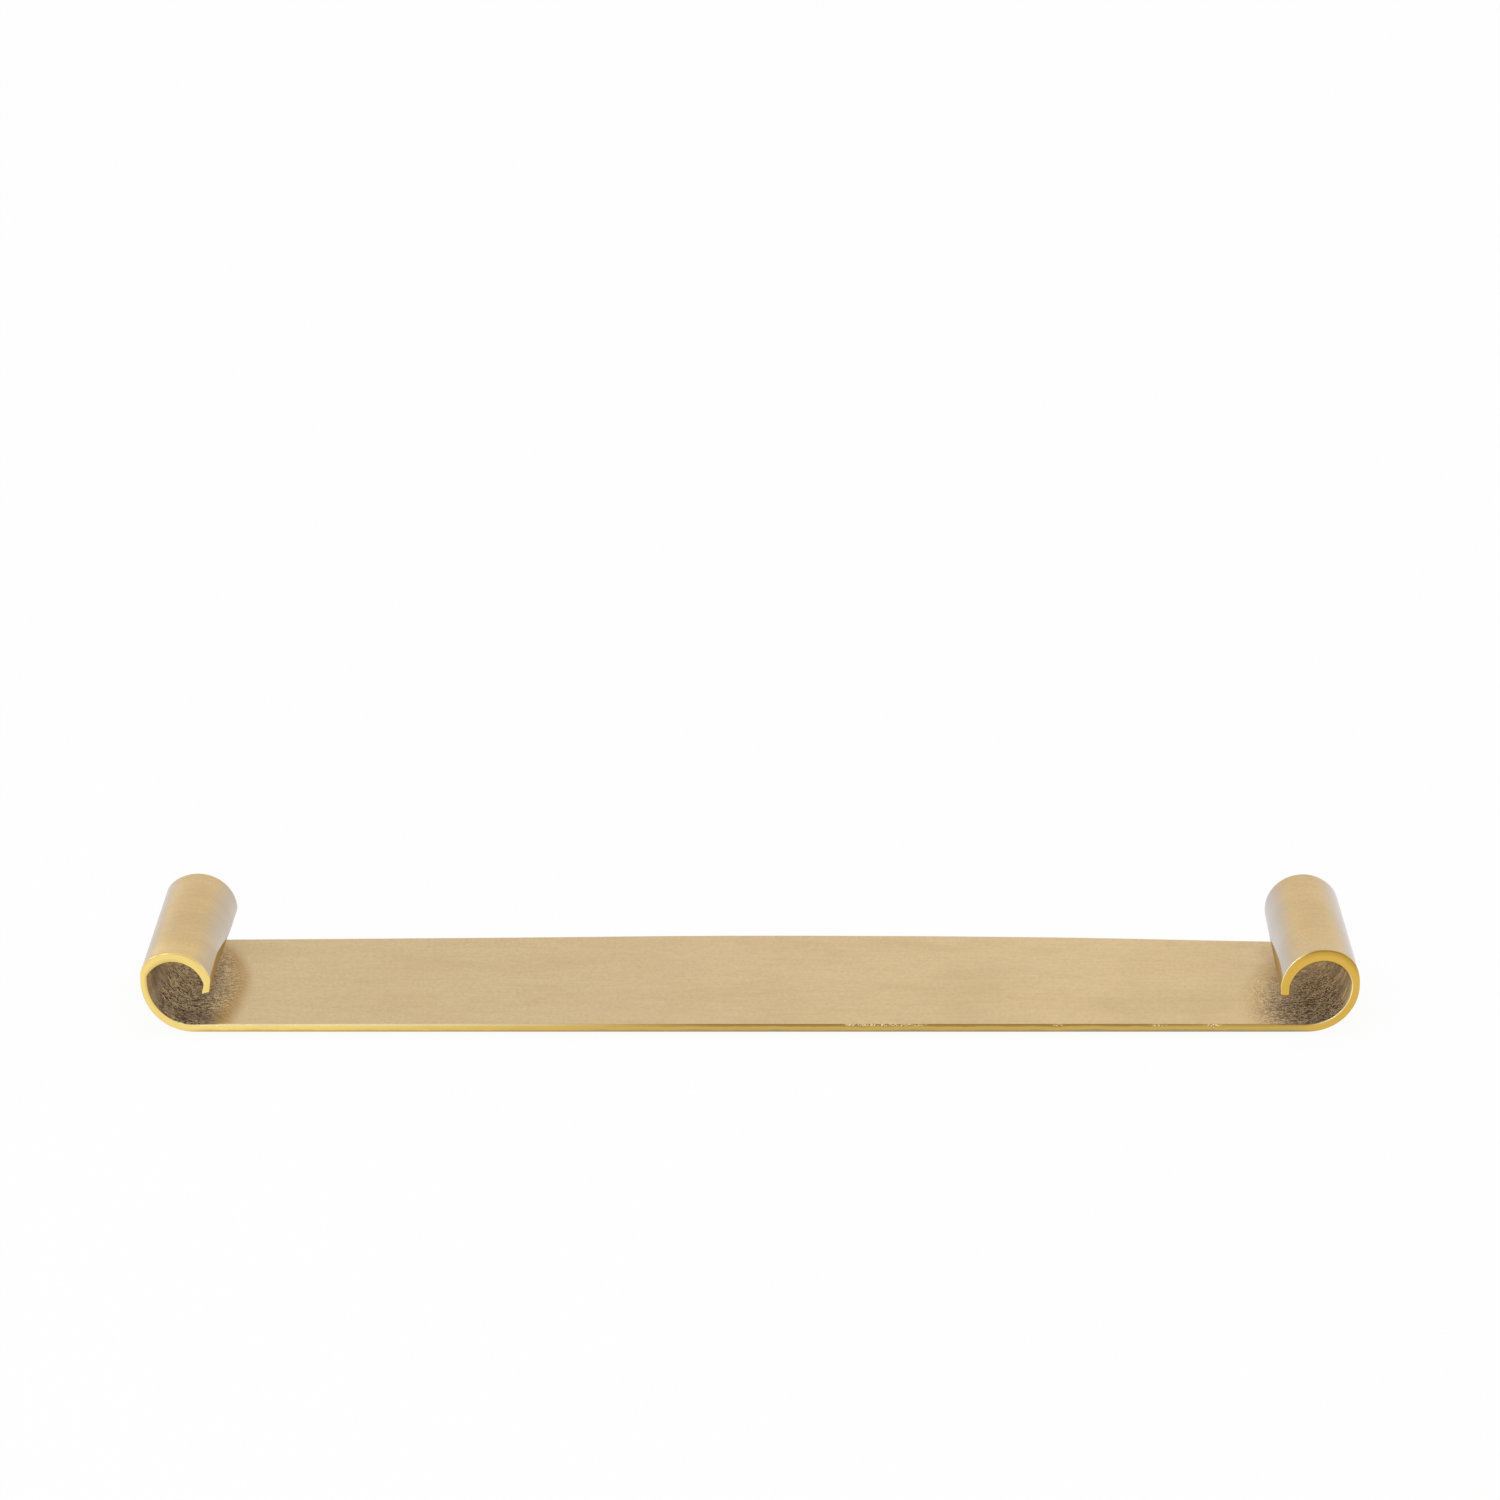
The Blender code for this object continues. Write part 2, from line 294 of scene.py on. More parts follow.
FRONT_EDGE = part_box("tray_body")[0].y


def depth_at(x):
    """Depth of the tray at x, on a smooth curve through the depths at five places."""
    depths = [DEPTH - narrowing for narrowing in NARROWINGS]
    return min(spread(depths, x / LENGTH + 0.5), DEPTH)


def outermost(roll, toward_back):
    return LENGTH / 2 - roll.splay * (1 - toward_back)


def roll_points(roll, outline, toward_back):
    """A roll's outline in space, from the lip to the foot, its ends leaning in as they rise."""
    points = []
    for inset, rise in outline:
        x = roll.side * (outermost(roll, toward_back) - inset)
        climb = max((rise - PLATE_THICKNESS) / (roll.height - PLATE_THICKNESS), 0.0)
        lean = roll.draft * climb
        y = between(FRONT_EDGE + lean, FRONT_EDGE + depth_at(x) - lean, toward_back)
        points.append((x, y, PLATE_BASE + rise))
    return points


def plate_stops(left, right):
    """Places along the plate, close together where the cast skin runs out at either end."""
    near_left = left + SKIN_PLATE_LENGTH
    near_right = right - SKIN_PLATE_LENGTH
    return [
        *np.linspace(left, near_left, SKIN_PLATE_STEPS, endpoint=False),
        *np.linspace(near_left, near_right, PLATE_STEPS, endpoint=False),
        *np.linspace(near_right, right, SKIN_PLATE_STEPS + 1),
    ]


def plate_points(rise, toward_back):
    left = LEFT_ROLL.foot_inset - outermost(LEFT_ROLL, toward_back)
    right = outermost(RIGHT_ROLL, toward_back) - RIGHT_ROLL.foot_inset
    return [
        (x, FRONT_EDGE + depth_at(x) * toward_back, PLATE_BASE + rise)
        for x in plate_stops(left, right)
    ]


def tray_outlines(toward_back):
    """The whole outside and inside of the wall, from the left lip to the right lip."""
    lefts = roll_outlines(LEFT_ROLL, toward_back)
    rights = roll_outlines(RIGHT_ROLL, toward_back)
    return [
        np.array(
            roll_points(LEFT_ROLL, left, toward_back)
            + plate_points(rise, toward_back)
            + roll_points(RIGHT_ROLL, right, toward_back)[::-1]
        )
        for left, right, rise in zip(lefts, rights, (0.0, PLATE_THICKNESS))
    ]


def fade(value, low, high):
    """0 below low, 1 above high and a smooth rise between."""
    part = np.clip((value - low) / (high - low), 0.0, 1.0)
    return part * part * (3 - 2 * part)


def cast_skin(points, toward_back):
    """How raw the casting still is inside the rolls and on the plate beside them."""
    sides = []
    for roll in (LEFT_ROLL, RIGHT_ROLL):
        edge = spread(roll.skin_edges, toward_back)
        out = roll.side * points[:, 0]
        sides.append(fade(out, edge - roll.skin_fade, edge + SKIN_FADE_OUT))
    return np.maximum(*sides)


def smooth_side(points):
    """Where the core left the side wall smoother, from the parting down to the curl."""
    out = np.abs(points[:, 0]) - (LENGTH / 2 - SMOOTH_SIDE_REACH)
    rise = points[:, 2]
    up = np.minimum(rise - PLATE_BASE - SMOOTH_SIDE_LOW, SMOOTH_SIDE_HIGH - rise)
    return fade(out, 0.0, SMOOTH_SIDE_FADE_OUT) * fade(up, 0.0, SMOOTH_SIDE_FADE_UP)


def strip_margin(points, toward_back, inside):
    """How far below the top of the lip's bronze tone the metal is, and below 0 off the lip."""
    margins = np.full(len(points), STRIP_OFF)
    if inside:
        return margins
    for roll in (LEFT_ROLL, RIGHT_ROLL):
        out = roll.side * points[:, 0]
        inner_half = outermost(roll, toward_back) - roll.crown_insets[0]
        on_lip = (out > 0) & (out < inner_half) & (points[:, 2] > PLATE_BASE + LIP_LOWEST)
        top = PLATE_BASE + roll.lip_rise + spread(roll.lip_tones, toward_back)
        margins[on_lip] = np.maximum(top - points[on_lip, 2], STRIP_OFF)
    return margins


def placed_object(name, data):
    made = bpy.data.objects.new(name, data)
    bpy.context.scene.collection.objects.link(made)
    return made


def points_mesh(name, points, **layers):
    """Loose points with a value or a vector on each for every named layer."""
    mesh = bpy.data.meshes.new(name)
    mesh.from_pydata([tuple(point) for point in points], [], [])
    for layer, values in layers.items():
        values = np.asarray(values, float)
        kind, field = ("FLOAT", "value") if values.ndim == 1 else ("FLOAT_VECTOR", "vector")
        mesh.attributes.new(layer, kind, "POINT").data.foreach_set(field, values.ravel())
    return placed_object(name, mesh)


def outline_points():
    """All outlines, section by section from front to back, each the outside then the inside."""
    rows = []
    for section in range(SECTIONS):
        toward_back = section / (SECTIONS - 1)
        for inside, outline in enumerate(tray_outlines(toward_back)):
            steps = np.linalg.norm(np.diff(outline[:, [0, 2]], axis=0), axis=1)
            length = np.concatenate([[0.0], np.cumsum(steps)])
            skin = cast_skin(outline, toward_back) * inside
            side = smooth_side(outline) * inside
            facet = strip_margin(outline, toward_back, inside)
            rows.append((outline, skin, side, facet, length - length[-1] / 2))
    points, skin, side, facet, length = (np.concatenate(column) for column in zip(*rows))
    stations = len(rows[0][0])
    end_insets = np.zeros(stations)
    for i, angle in enumerate(quarter_turn(ROUND_STEPS)[:0:-1]):
        end_insets[i] = end_insets[-1 - i] = EDGE_ROUNDING * (1 - math.cos(angle))
    layers = {"skin": skin, "side": side, "facet": facet, "length": length}
    end_inset = np.tile(end_insets, 2 * SECTIONS)
    return points_mesh("wall_outlines", points, end_inset=end_inset, **layers), stations


def rim_loop():
    """Once round the metal across its depth and thickness: place, inward side, rim or not."""
    near = EDGE_ROUNDING
    far = LOOP_DEPTH - near
    top = LOOP_WALL - near
    centres = np.array([(near, near, 0.0), (near, top, 0.0), (far, top, 0.0), (far, near, 0.0)])
    sides = np.array([(0.0, 1.0, 0.0), (1.0, 0.0, 0.0), (0.0, -1.0, 0.0), (-1.0, 0.0, 0.0)])
    loop = []
    for corner, (steps, rim) in enumerate([(FACE_STEPS, 1), (DEPTH_STEPS, 0)] * 2):
        following = (corner + 1) % len(centres)
        for angle in quarter_turn(ROUND_STEPS):
            turned = sides[corner] * math.cos(angle) + sides[following] * math.sin(angle)
            loop.append((centres[corner], turned, 1))
        for step in range(1, steps):
            place = between(centres[corner], centres[following], step / steps)
            loop.append((place, sides[following], rim))
    places, inwards, rims = (np.array(column) for column in zip(*loop))
    places = places - inwards * EDGE_ROUNDING
    return points_mesh("rim_loop", places, inward=inwards, rim=rims), len(loop)


# Nodes


class Signal:
    """What a node gives. Arithmetic with a number or another signal adds the nodes for it."""

    def __init__(self, bench, socket):
        self.bench = bench
        self.socket = socket

    def __add__(self, other):
        return self.bench.math("ADD", self, other)

    def __sub__(self, other):
        return self.bench.math("SUBTRACT", self, other)

    def __rsub__(self, other):
        return self.bench.math("SUBTRACT", other, self)

    def __mul__(self, other):
        return self.bench.math("MULTIPLY", self, other)

    def __truediv__(self, other):
        return self.bench.math("DIVIDE", self, other)

    def __rtruediv__(self, other):
        return self.bench.math("DIVIDE", other, self)

    def __abs__(self):
        return self.bench.math("ABSOLUTE", self)

    def ramp(self, low, high, to_low=0.0, to_high=1.0, kind="LINEAR"):
        names = ("Value", "From Min", "From Max", "To Min", "To Max")
        inputs = dict(zip(names, (self, low, high, to_low, to_high)))
        return self.bench.get("ShaderNodeMapRange", inputs, interpolation_type=kind)

    def ease(self, *limits):
        """A ramp with soft ends."""
        return self.ramp(*limits, kind="SMOOTHSTEP")


class Bench:
    """Adds nodes to one tree and joins them as they are added."""

    def __init__(self, tree):
        self.tree = tree

    def add(self, kind, inputs=None, **settings):
        node = self.tree.nodes.new(kind)
        for key, value in settings.items():
            setattr(node, key, value)
        self.fill(node, inputs or {})
        return node

    def get(self, kind, inputs=None, output=0, **settings):
        """One output of a new node."""
        return Signal(self, socket_of(self.add(kind, inputs, **settings).outputs, output))

    def outputs(self, kind, inputs=None, **settings):
        """All outputs of a new node by name."""
        node = self.add(kind, inputs, **settings)
        return {socket.name: Signal(self, socket) for socket in node.outputs}

    def fill(self, node, inputs):
        for name, value in inputs.items():
            self.feed(socket_of(node.inputs, name), value)

    def feed(self, socket, value):
        if isinstance(value, Signal):
            self.tree.links.new(value.socket, socket)
        else:
            socket.default_value = (*value, 1.0) if socket.type == "RGBA" else value

    def math(self, operation, *values, clamp=False):
        inputs = dict(enumerate(values))
        return self.get("ShaderNodeMath", inputs, operation=operation, use_clamp=clamp)

    def most(self, *values):
        return self.math("MAXIMUM", *values)

    def whole(self, operation, *values):
        return self.get("FunctionNodeIntegerMath", dict(enumerate(values)), operation=operation)

    def vector(self, operation, *values):
        names = (0, "Scale") if operation == "SCALE" else (0, 1)
        output = "Value" if operation == "DISTANCE" else "Vector"
        inputs = dict(zip(names, values))
        return self.get("ShaderNodeVectorMath", inputs, output, operation=operation)

    def axes(self, vector):
        return self.outputs("ShaderNodeSeparateXYZ", {0: vector}).values()

    def axis(self, vector, name):
        return self.outputs("ShaderNodeSeparateXYZ", {0: vector})[name]

    def point(self, x=0.0, y=0.0, z=0.0):
        return self.get("ShaderNodeCombineXYZ", {0: x, 1: y, 2: z})

    def mix(self, share, first, second, kind="FLOAT", blend="MIX"):
        tail = {"FLOAT": "Float", "VECTOR": "Vector", "RGBA": "Color"}[kind]
        inputs = {"Factor_Float": share, "A_" + tail: first, "B_" + tail: second}
        output = "Result_" + tail
        return self.get("ShaderNodeMix", inputs, output, data_type=kind, blend_type=blend)

    def coats(self, base, *coats):
        """A colour with others laid over it in turn, each by its own share."""
        for share, colour in coats:
            base = self.mix(share, base, colour, "RGBA")
        return base

    def shape(self, kind, geometry, **inputs):
        """What a geometry node makes of a shape."""
        return self.get(kind, {"Geometry": geometry} | inputs)

    def store(self, geometry, name, value, kind="FLOAT", domain="POINT"):
        inputs = {"Geometry": geometry, "Name": name, "Value": value}
        settings = {"data_type": kind, "domain": domain}
        return self.get("GeometryNodeStoreNamedAttribute", inputs, **settings)

    def attribute(self, name, output="Fac"):
        return self.get("ShaderNodeAttribute", output=output, attribute_name=name)

    def coordinates(self, output):
        return self.get("ShaderNodeTexCoord", output=output)

    def noise(self, vector, scale=1.0, detail=2.0, roughness=0.5, distortion=0.0):
        names = ("Vector", "Scale", "Detail", "Roughness", "Distortion")
        values = (vector, scale, detail, roughness, distortion)
        return self.get("ShaderNodeTexNoise", dict(zip(names, values)))

    def bump(self, height, strength, distance, **below):
        inputs = {"Strength": strength, "Distance": distance, "Height": height}
        return self.get("ShaderNodeBump", inputs | below)

    def effect(self, name, vector, **sizes):
        """The outputs of a shared effect that is placed with its own sizes."""
        inputs = {"Vector": vector} | sizes
        return self.outputs("ShaderNodeGroup", inputs, node_tree=bpy.data.node_groups[name])


def socket_of(sockets, name):
    if isinstance(name, int):
        return sockets[name]
    for socket in sockets:
        if name == socket.identifier:
            return socket
    return sockets[name]


PLACE = "NodeSocketVector"
SHAPE = "NodeSocketGeometry"
THING = "NodeSocketObject"
FINISH = "NodeSocketMaterial"
NUMBER = "NodeSocketFloat"
NUMBER_KINDS = {int: "NodeSocketInt", float: NUMBER}


def new_tree(name, kind, inputs, outputs):
    """A node tree: each named input is its default number or its kind of socket."""
    tree = bpy.data.node_groups.new(name, kind)
    for socket_name, value in inputs.items():
        socket_kind = NUMBER_KINDS.get(type(value), value)
        socket = tree.interface.new_socket(socket_name, in_out="INPUT", socket_type=socket_kind)
        if socket_kind != value:
            socket.default_value = value
    for socket_name, socket_kind in outputs.items():
        tree.interface.new_socket(socket_name, in_out="OUTPUT", socket_type=socket_kind)
    bench = Bench(tree)
    return tree, bench, bench.outputs("NodeGroupInput"), bench.add("NodeGroupOutput")


class Loft:
    """Where each vertex of a plain tube belongs on the wall, from the outlines and the loop."""

    def __init__(self, bench, given):
        self.bench = bench
        self.given = given
        self.outlines, self.loop = (
            bench.get("GeometryNodeObjectInfo", {"Object": given[thing]}, "Geometry")
            for thing in ("Outlines", "Rim loop")
        )
        self.position = bench.get("GeometryNodeInputPosition")
        index = bench.get("GeometryNodeInputIndex")
        self.along = bench.whole("DIVIDE_FLOOR", index, given["Stations round"])
        self.around = bench.whole("FLOORED_MODULO", index, given["Stations round"])
        self.end_inset = self.sample(self.outlines, self.layer("end_inset"), self.along)
        spot_depth, spot_wall = self.spot_on_loop()
        self.find_sections(spot_depth)
        outside, inside = self.across_sections(self.position, "FLOAT_VECTOR")
        wall = bench.vector("DISTANCE", outside, inside)
        self.into = self.stretched(spot_wall, given["Loop wall"], wall)
        self.through = bench.math("DIVIDE", self.into, wall, clamp=True)
        self.place = bench.mix(self.through, outside, inside, "VECTOR")

    def layer(self, name, kind="FLOAT"):
        return self.bench.get("GeometryNodeInputNamedAttribute", {"Name": name}, data_type=kind)

    def sample(self, source, value, index, kind="FLOAT"):
        inputs = {"Geometry": source, "Value": value, "Index": index}
        settings = {"data_type": kind, "domain": "POINT"}
        return self.bench.get("GeometryNodeSampleIndex", inputs, **settings)

    def spot_on_loop(self):
        """Place on the rim loop, drawn inwards where the end of a lip is rounded."""
        bench = self.bench
        inward, spot = (
            self.sample(self.loop, value, self.around, "FLOAT_VECTOR")
            for value in (self.layer("inward", "FLOAT_VECTOR"), self.position)
        )
        drawn_in = bench.vector("SCALE", inward, self.end_inset)
        depth, wall, _ = bench.axes(bench.vector("ADD", spot, drawn_in))
        return depth, wall

    def stretched(self, place, nominal, real):
        """A place between the rounded ends of the loop, moved as the loop is stretched."""
        rounding = self.given["Edge rounding"]
        flat = nominal - rounding * 2.0
        share = self.bench.math("DIVIDE", place - rounding, flat, clamp=True)
        return (real - nominal) * share + place

    def find_sections(self, spot_depth):
        """The sections before and behind the vertex, and how far it is between them."""
        bench = self.bench
        last = bench.whole("SUBTRACT", self.given["Sections"], 1)
        self.pair = bench.whole("MULTIPLY", self.given["Stations along"], 2)
        back = bench.whole("ADD", bench.whole("MULTIPLY", last, self.pair), self.along)
        self.front_y, self.back_y = (
            bench.axis(self.sample(self.outlines, self.position, pick, "FLOAT_VECTOR"), "Y")
            for pick in (self.along, back)
        )
        depth = self.back_y - self.front_y
        reach = self.stretched(spot_depth, self.given["Loop depth"], depth)
        section = bench.math("DIVIDE", reach, depth, clamp=True) * last
        before = bench.math("MINIMUM", bench.math("FLOOR", section), last - 1.0)
        self.share = section - before
        self.start = bench.whole("ADD", bench.whole("MULTIPLY", before, self.pair), self.along)

    def across_sections(self, value, kind="FLOAT"):
        """The value on the outside and on the inside, blended from the two sections."""
        bench = self.bench
        mix_kind = "VECTOR" if kind == "FLOAT_VECTOR" else "FLOAT"
        inside_start = bench.whole("ADD", self.start, self.given["Stations along"])
        for side_start in (self.start, inside_start):
            picks = (side_start, bench.whole("ADD", side_start, self.pair))
            ends = [self.sample(self.outlines, value, pick, kind) for pick in picks]
            yield bench.mix(self.share, *ends, mix_kind)


def plain_tube(bench, given):
    """A tube with a vertex for each station along the outlines and round the loop."""
    line = bench.get("GeometryNodeCurvePrimitiveLine")
    drawn = {"Curve": line, "Count": given["Stations along"]}
    spine = bench.get("GeometryNodeResampleCurve", drawn)
    turned = {"Resolution": given["Stations round"]}
    ring = bench.get("GeometryNodeCurvePrimitiveCircle", turned)
    swept = {"Curve": spine, "Profile Curve": ring, "Fill Caps": True}
    return bench.get("GeometryNodeCurveToMesh", swept)


def marked(bench, loft, shape):
    """Keeps on the tube what the finishes and the relief read there."""
    skin, side, facet, length = (
        bench.mix(loft.through, *loft.across_sections(loft.layer(name)))
        for name in ("skin", "side", "facet", "length")
    )
    rim = loft.sample(loft.loop, loft.layer("rim"), loft.around)
    on_lip_end = bench.math("GREATER_THAN", loft.end_inset, 0.0)
    unrolled = bench.point(length, bench.axis(loft.place, "Y"), loft.into)
    shape = bench.store(shape, "unrolled", unrolled, "FLOAT_VECTOR")
    numbers = {
        "cast_skin": skin,
        "smooth_side": side,
        "lip_facet": facet,
        "outside": 1.0 - loft.through,
        "edge": bench.most(rim, on_lip_end),
    }
    for name, value in numbers.items():
        shape = bench.store(shape, name, value)
    return shape


def roughened(bench, loft, shape):
    """Low relief of the raw skin."""
    given = loft.given
    unrolled = loft.layer("unrolled", "FLOAT_VECTOR")
    size = 1.0 / given["Skin lump size"]
    placing = {"Vector": unrolled, "W": given["Seed"], "Scale": size}
    lumps = bench.get("ShaderNodeTexNoise", placing | SKIN_NOISE, noise_dimensions="4D")
    y = bench.axis(loft.position, "Y")
    to_end = bench.math("MINIMUM", y - loft.front_y, loft.back_y - y)
    raw = loft.layer("cast_skin") * to_end.ease(*SKIN_FROM_ENDS)
    lift = (lumps - 0.5) * given["Skin relief"] * NOISE_TO_FULL * raw
    lifted = bench.vector("SCALE", bench.get("GeometryNodeInputNormal"), lift)
    return bench.shape("GeometryNodeSetPosition", shape, Offset=lifted)


def wall_loft_tree():
    """Sweeps the rim loop along the outlines, from one lip to the other; roughens the skin."""
    inputs = {
        "Geometry": SHAPE,
        "Outlines": THING,
        "Rim loop": THING,
        "Stations along": 2,
        "Stations round": 3,
        "Sections": 2,
        "Seed": 0,
        "Wall brass": FINISH,
        "Edge brass": FINISH,
    }
    tree, bench, given, out = new_tree(
        "cast_wall_loft", "GeometryNodeTree", inputs | WALL_SIZES, {"Geometry": SHAPE}
    )
    loft = Loft(bench, given)
    shape = marked(bench, loft, plain_tube(bench, given))
    shape = bench.shape("GeometryNodeSetPosition", shape, Position=loft.place)
    x, y, _ = bench.axes(loft.layer("unrolled", "FLOAT_VECTOR"))
    shape = bench.store(shape, "across_brushing", bench.point(y, x), "FLOAT2", "CORNER")
    shape = roughened(bench, loft, shape)
    shape = bench.shape("GeometryNodeRealizeInstances", shape)
    shape = bench.shape("GeometryNodeSetMaterial", shape, Material=given["Wall brass"])
    on_edge = bench.math("GREATER_THAN", loft.layer("edge"), EDGE_MARK)
    edge = {"Selection": on_edge, "Material": given["Edge brass"]}
    shape = bench.shape("GeometryNodeSetMaterial", shape, **edge)
    bench.fill(out, {"Geometry": shape})
    return tree


def felt_fuzz_tree():
    """Covers the side of a pad with short wool fibres that lie down on it."""
    inputs = {"Geometry": SHAPE, "Lowest": 0.0, "Highest": 0.0, "Seed": 0, "Felt": FINISH}
    tree, bench, given, out = new_tree(
        "felt_fuzz", "GeometryNodeTree", inputs | FIBRE_SIZES, {"Geometry": SHAPE}
    )
    seed, radius = given["Seed"], given["Fibre radius"]
    upright = abs(bench.axis(bench.get("GeometryNodeInputNormal"), "Z"))
    points = bench.outputs(
        "GeometryNodeDistributePointsOnFaces",
        {
            "Mesh": given["Geometry"],
            "Selection": bench.math("LESS_THAN", upright, UPRIGHT_FACES),
            "Density": given["Fibres per square metre"],
            "Seed": seed,
        },
    )

    # One fibre, bowed to the side and up
    half = given["Fibre length"] * 0.5
    ends = {"Start": bench.point(half * -1.0), "End": bench.point(half)}
    line = bench.get("GeometryNodeCurvePrimitiveLine", ends)
    strand = bench.get("GeometryNodeResampleCurve", {"Curve": line, "Count": FIBRE_POINTS})
    x, y, z = bench.axes(bench.get("GeometryNodeInputPosition"))
    share = x / half
    bow = (1.0 - share * share) * half
    bent = bench.point(0.0, bow * BOW_SIDEWAYS, bow * BOW_UP)
    strand = bench.shape("GeometryNodeSetPosition", strand, Offset=bent)
    round_fibre = {"Resolution": FIBRE_SIDES, "Radius": radius}
    ring = bench.get("GeometryNodeCurvePrimitiveCircle", round_fibre)
    swept = {"Curve": strand, "Profile Curve": ring, "Fill Caps": True}
    fibre = bench.get("GeometryNodeCurveToMesh", swept)

    turns = {"Min": (0.0, 0.0, 0.0), "Max": FIBRE_TURNS, "Seed": seed}
    turn = bench.get("FunctionNodeRandomValue", turns, data_type="FLOAT_VECTOR")
    stretches = {"Min_001": FIBRE_STRETCH[0], "Max_001": FIBRE_STRETCH[1], "Seed": seed}
    stretch = bench.get("FunctionNodeRandomValue", stretches, 1, data_type="FLOAT")
    spin = bench.get("FunctionNodeEulerToRotation", {0: turn})
    turned = {"Rotation": points["Rotation"], "Rotate By": spin}
    rotation = bench.get("FunctionNodeRotateRotation", turned, rotation_space="LOCAL")
    laid = {"Points": points["Points"], "Instance": fibre, "Rotation": rotation}
    fuzz = bench.get("GeometryNodeInstanceOnPoints", laid | {"Scale": stretch})
    fuzz = bench.shape("GeometryNodeRealizeInstances", fuzz)

    # No fibre hangs below the pad or stands above it
    room = {"Value": z, "Min": given["Lowest"], "Max": given["Highest"] - radius}
    kept = bench.point(x, y, bench.get("ShaderNodeClamp", room))
    fuzz = bench.shape("GeometryNodeSetPosition", fuzz, Position=kept)
    both = bench.add("GeometryNodeJoinGeometry")
    for shape in (fuzz, given["Geometry"]):
        bench.feed(both.inputs[0], shape)
    joined = Signal(bench, both.outputs[0])
    dressed = bench.shape("GeometryNodeSetMaterial", joined, Material=given["Felt"])
    bench.fill(out, {"Geometry": dressed})
    return tree


def made_by_nodes(name, start, tree, values):
    """A plain mesh from what the tree makes of start, with the tree's inputs set by name."""
    maker = placed_object(name + "_maker", start)
    modifier = maker.modifiers.new(name, "NODES")
    modifier.node_group = tree
    for item in tree.interface.items_tree:
        if item.item_type == "SOCKET" and item.in_out == "INPUT" and item.name in values:
            modifier[item.identifier] = values[item.name]
    maker.update_tag()
    bpy.context.view_layer.update()
    graph = bpy.context.evaluated_depsgraph_get()
    mesh = bpy.data.meshes.new_from_object(maker.evaluated_get(graph), depsgraph=graph)
    mesh.name = name
    maker.modifiers.remove(modifier)
    bpy.data.objects.remove(maker)
    return placed_object(name, mesh)


# Effects that more than one finish uses

# Stretch along a line and across it, shifts, and a noise's detail, roughness and distortion
BAND_STRETCH = (0.6, 0.14, 0.14)
CLOUD_NOISE = (3.0, 0.5, 0.3)
SMUDGE_NOISE = (5.0, 0.55, 0.4)
SMUDGE_STRETCH = (0.45, 1.0, 1.0)
SMUDGE_SHIFT = (0.37, 0.11, 0.53)
SMUDGE_FINENESS = 3.1
# Which of the cells have a pit, and a pit's wall from rim to floor as shares of its size
PIT_LUCK = (0.55, 1.0)
PIT_WALL = (1.0, 0.3)
SMALLEST_PIT = 0.000001
CREASE_LEAN = (0.0, 0.0, math.radians(7))
# Length of one wave of the wave texture at a scale of 1
WAVE_LENGTH = math.pi / 10
LUMP_NOISE = (4.0, 0.62, 1.0)
LUMP_STRETCH = (0.60, 0.90, 1.0)
LUMP_FINENESS = 1.8
LUMP_LIMITS = (0.32, 0.68)
LUMP_SHARE = 0.74
GROOVE_DEPTHS = (0.520, 0.415)


def new_effect(name, sizes, outputs):
    """A new shader node group, with a vector and these sizes as its inputs."""
    inputs = {"Vector": PLACE} | sizes
    return new_tree(name, "ShaderNodeTree", inputs, dict.fromkeys(outputs, NUMBER))[1:]


def brush_lines():
    """Fine lines left by the brushing belt, long one way and hair-thin the other."""
    sizes = {"Length": 0.03, "Width": 0.0004, "Unevenness": 0.5}
    bench, given, out = new_effect("brush_lines", sizes, ("Lines", "Bands"))
    across = 1.0 / given["Width"]
    scaled = bench.point(1.0 / given["Length"], across, across)
    scaled = bench.vector("MULTIPLY", given["Vector"], scaled)
    fine = bench.noise(scaled, roughness=0.7)
    bands = bench.noise(bench.vector("MULTIPLY", scaled, BAND_STRETCH))
    lines = bench.mix(given["Unevenness"], fine, fine * bands)
    bench.fill(out, {"Lines": lines, "Bands": bands})


def tarnish_clouds():
    """Soft uneven patches of tarnish and handling."""
    sizes = {"Size": 0.05, "Start": 0.45, "Full": 0.70}
    bench, given, out = new_effect("tarnish_clouds", sizes, ("Clouds", "Smudges"))
    scale = 1.0 / given["Size"]
    limits = (given["Start"], given["Full"])
    clouds = bench.noise(given["Vector"], scale, *CLOUD_NOISE)
    drawn_out = bench.vector("MULTIPLY", given["Vector"], SMUDGE_STRETCH)
    drawn_out = bench.vector("ADD", drawn_out, SMUDGE_SHIFT)
    smudges = bench.noise(drawn_out, scale * SMUDGE_FINENESS, *SMUDGE_NOISE)
    bench.fill(out, {"Clouds": clouds.ease(*limits), "Smudges": smudges.ease(*limits)})


def casting_pits():
    """Sparse small pits where gas was caught in the casting."""
    sizes = {"Spacing": 0.012, "Size": 0.0006}
    bench, given, out = new_effect("casting_pits", sizes, ("Pits",))
    placing = {"Vector": given["Vector"], "Scale": 1.0 / given["Spacing"]}
    cells = bench.outputs("ShaderNodeTexVoronoi", placing)
    luck = bench.axis(cells["Color"], "X").ramp(*PIT_LUCK)
    size = bench.most(given["Size"] * luck, SMALLEST_PIT)
    bench.fill(out, {"Pits": (cells["Distance"] * given["Spacing"] / size).ease(*PIT_WALL)})


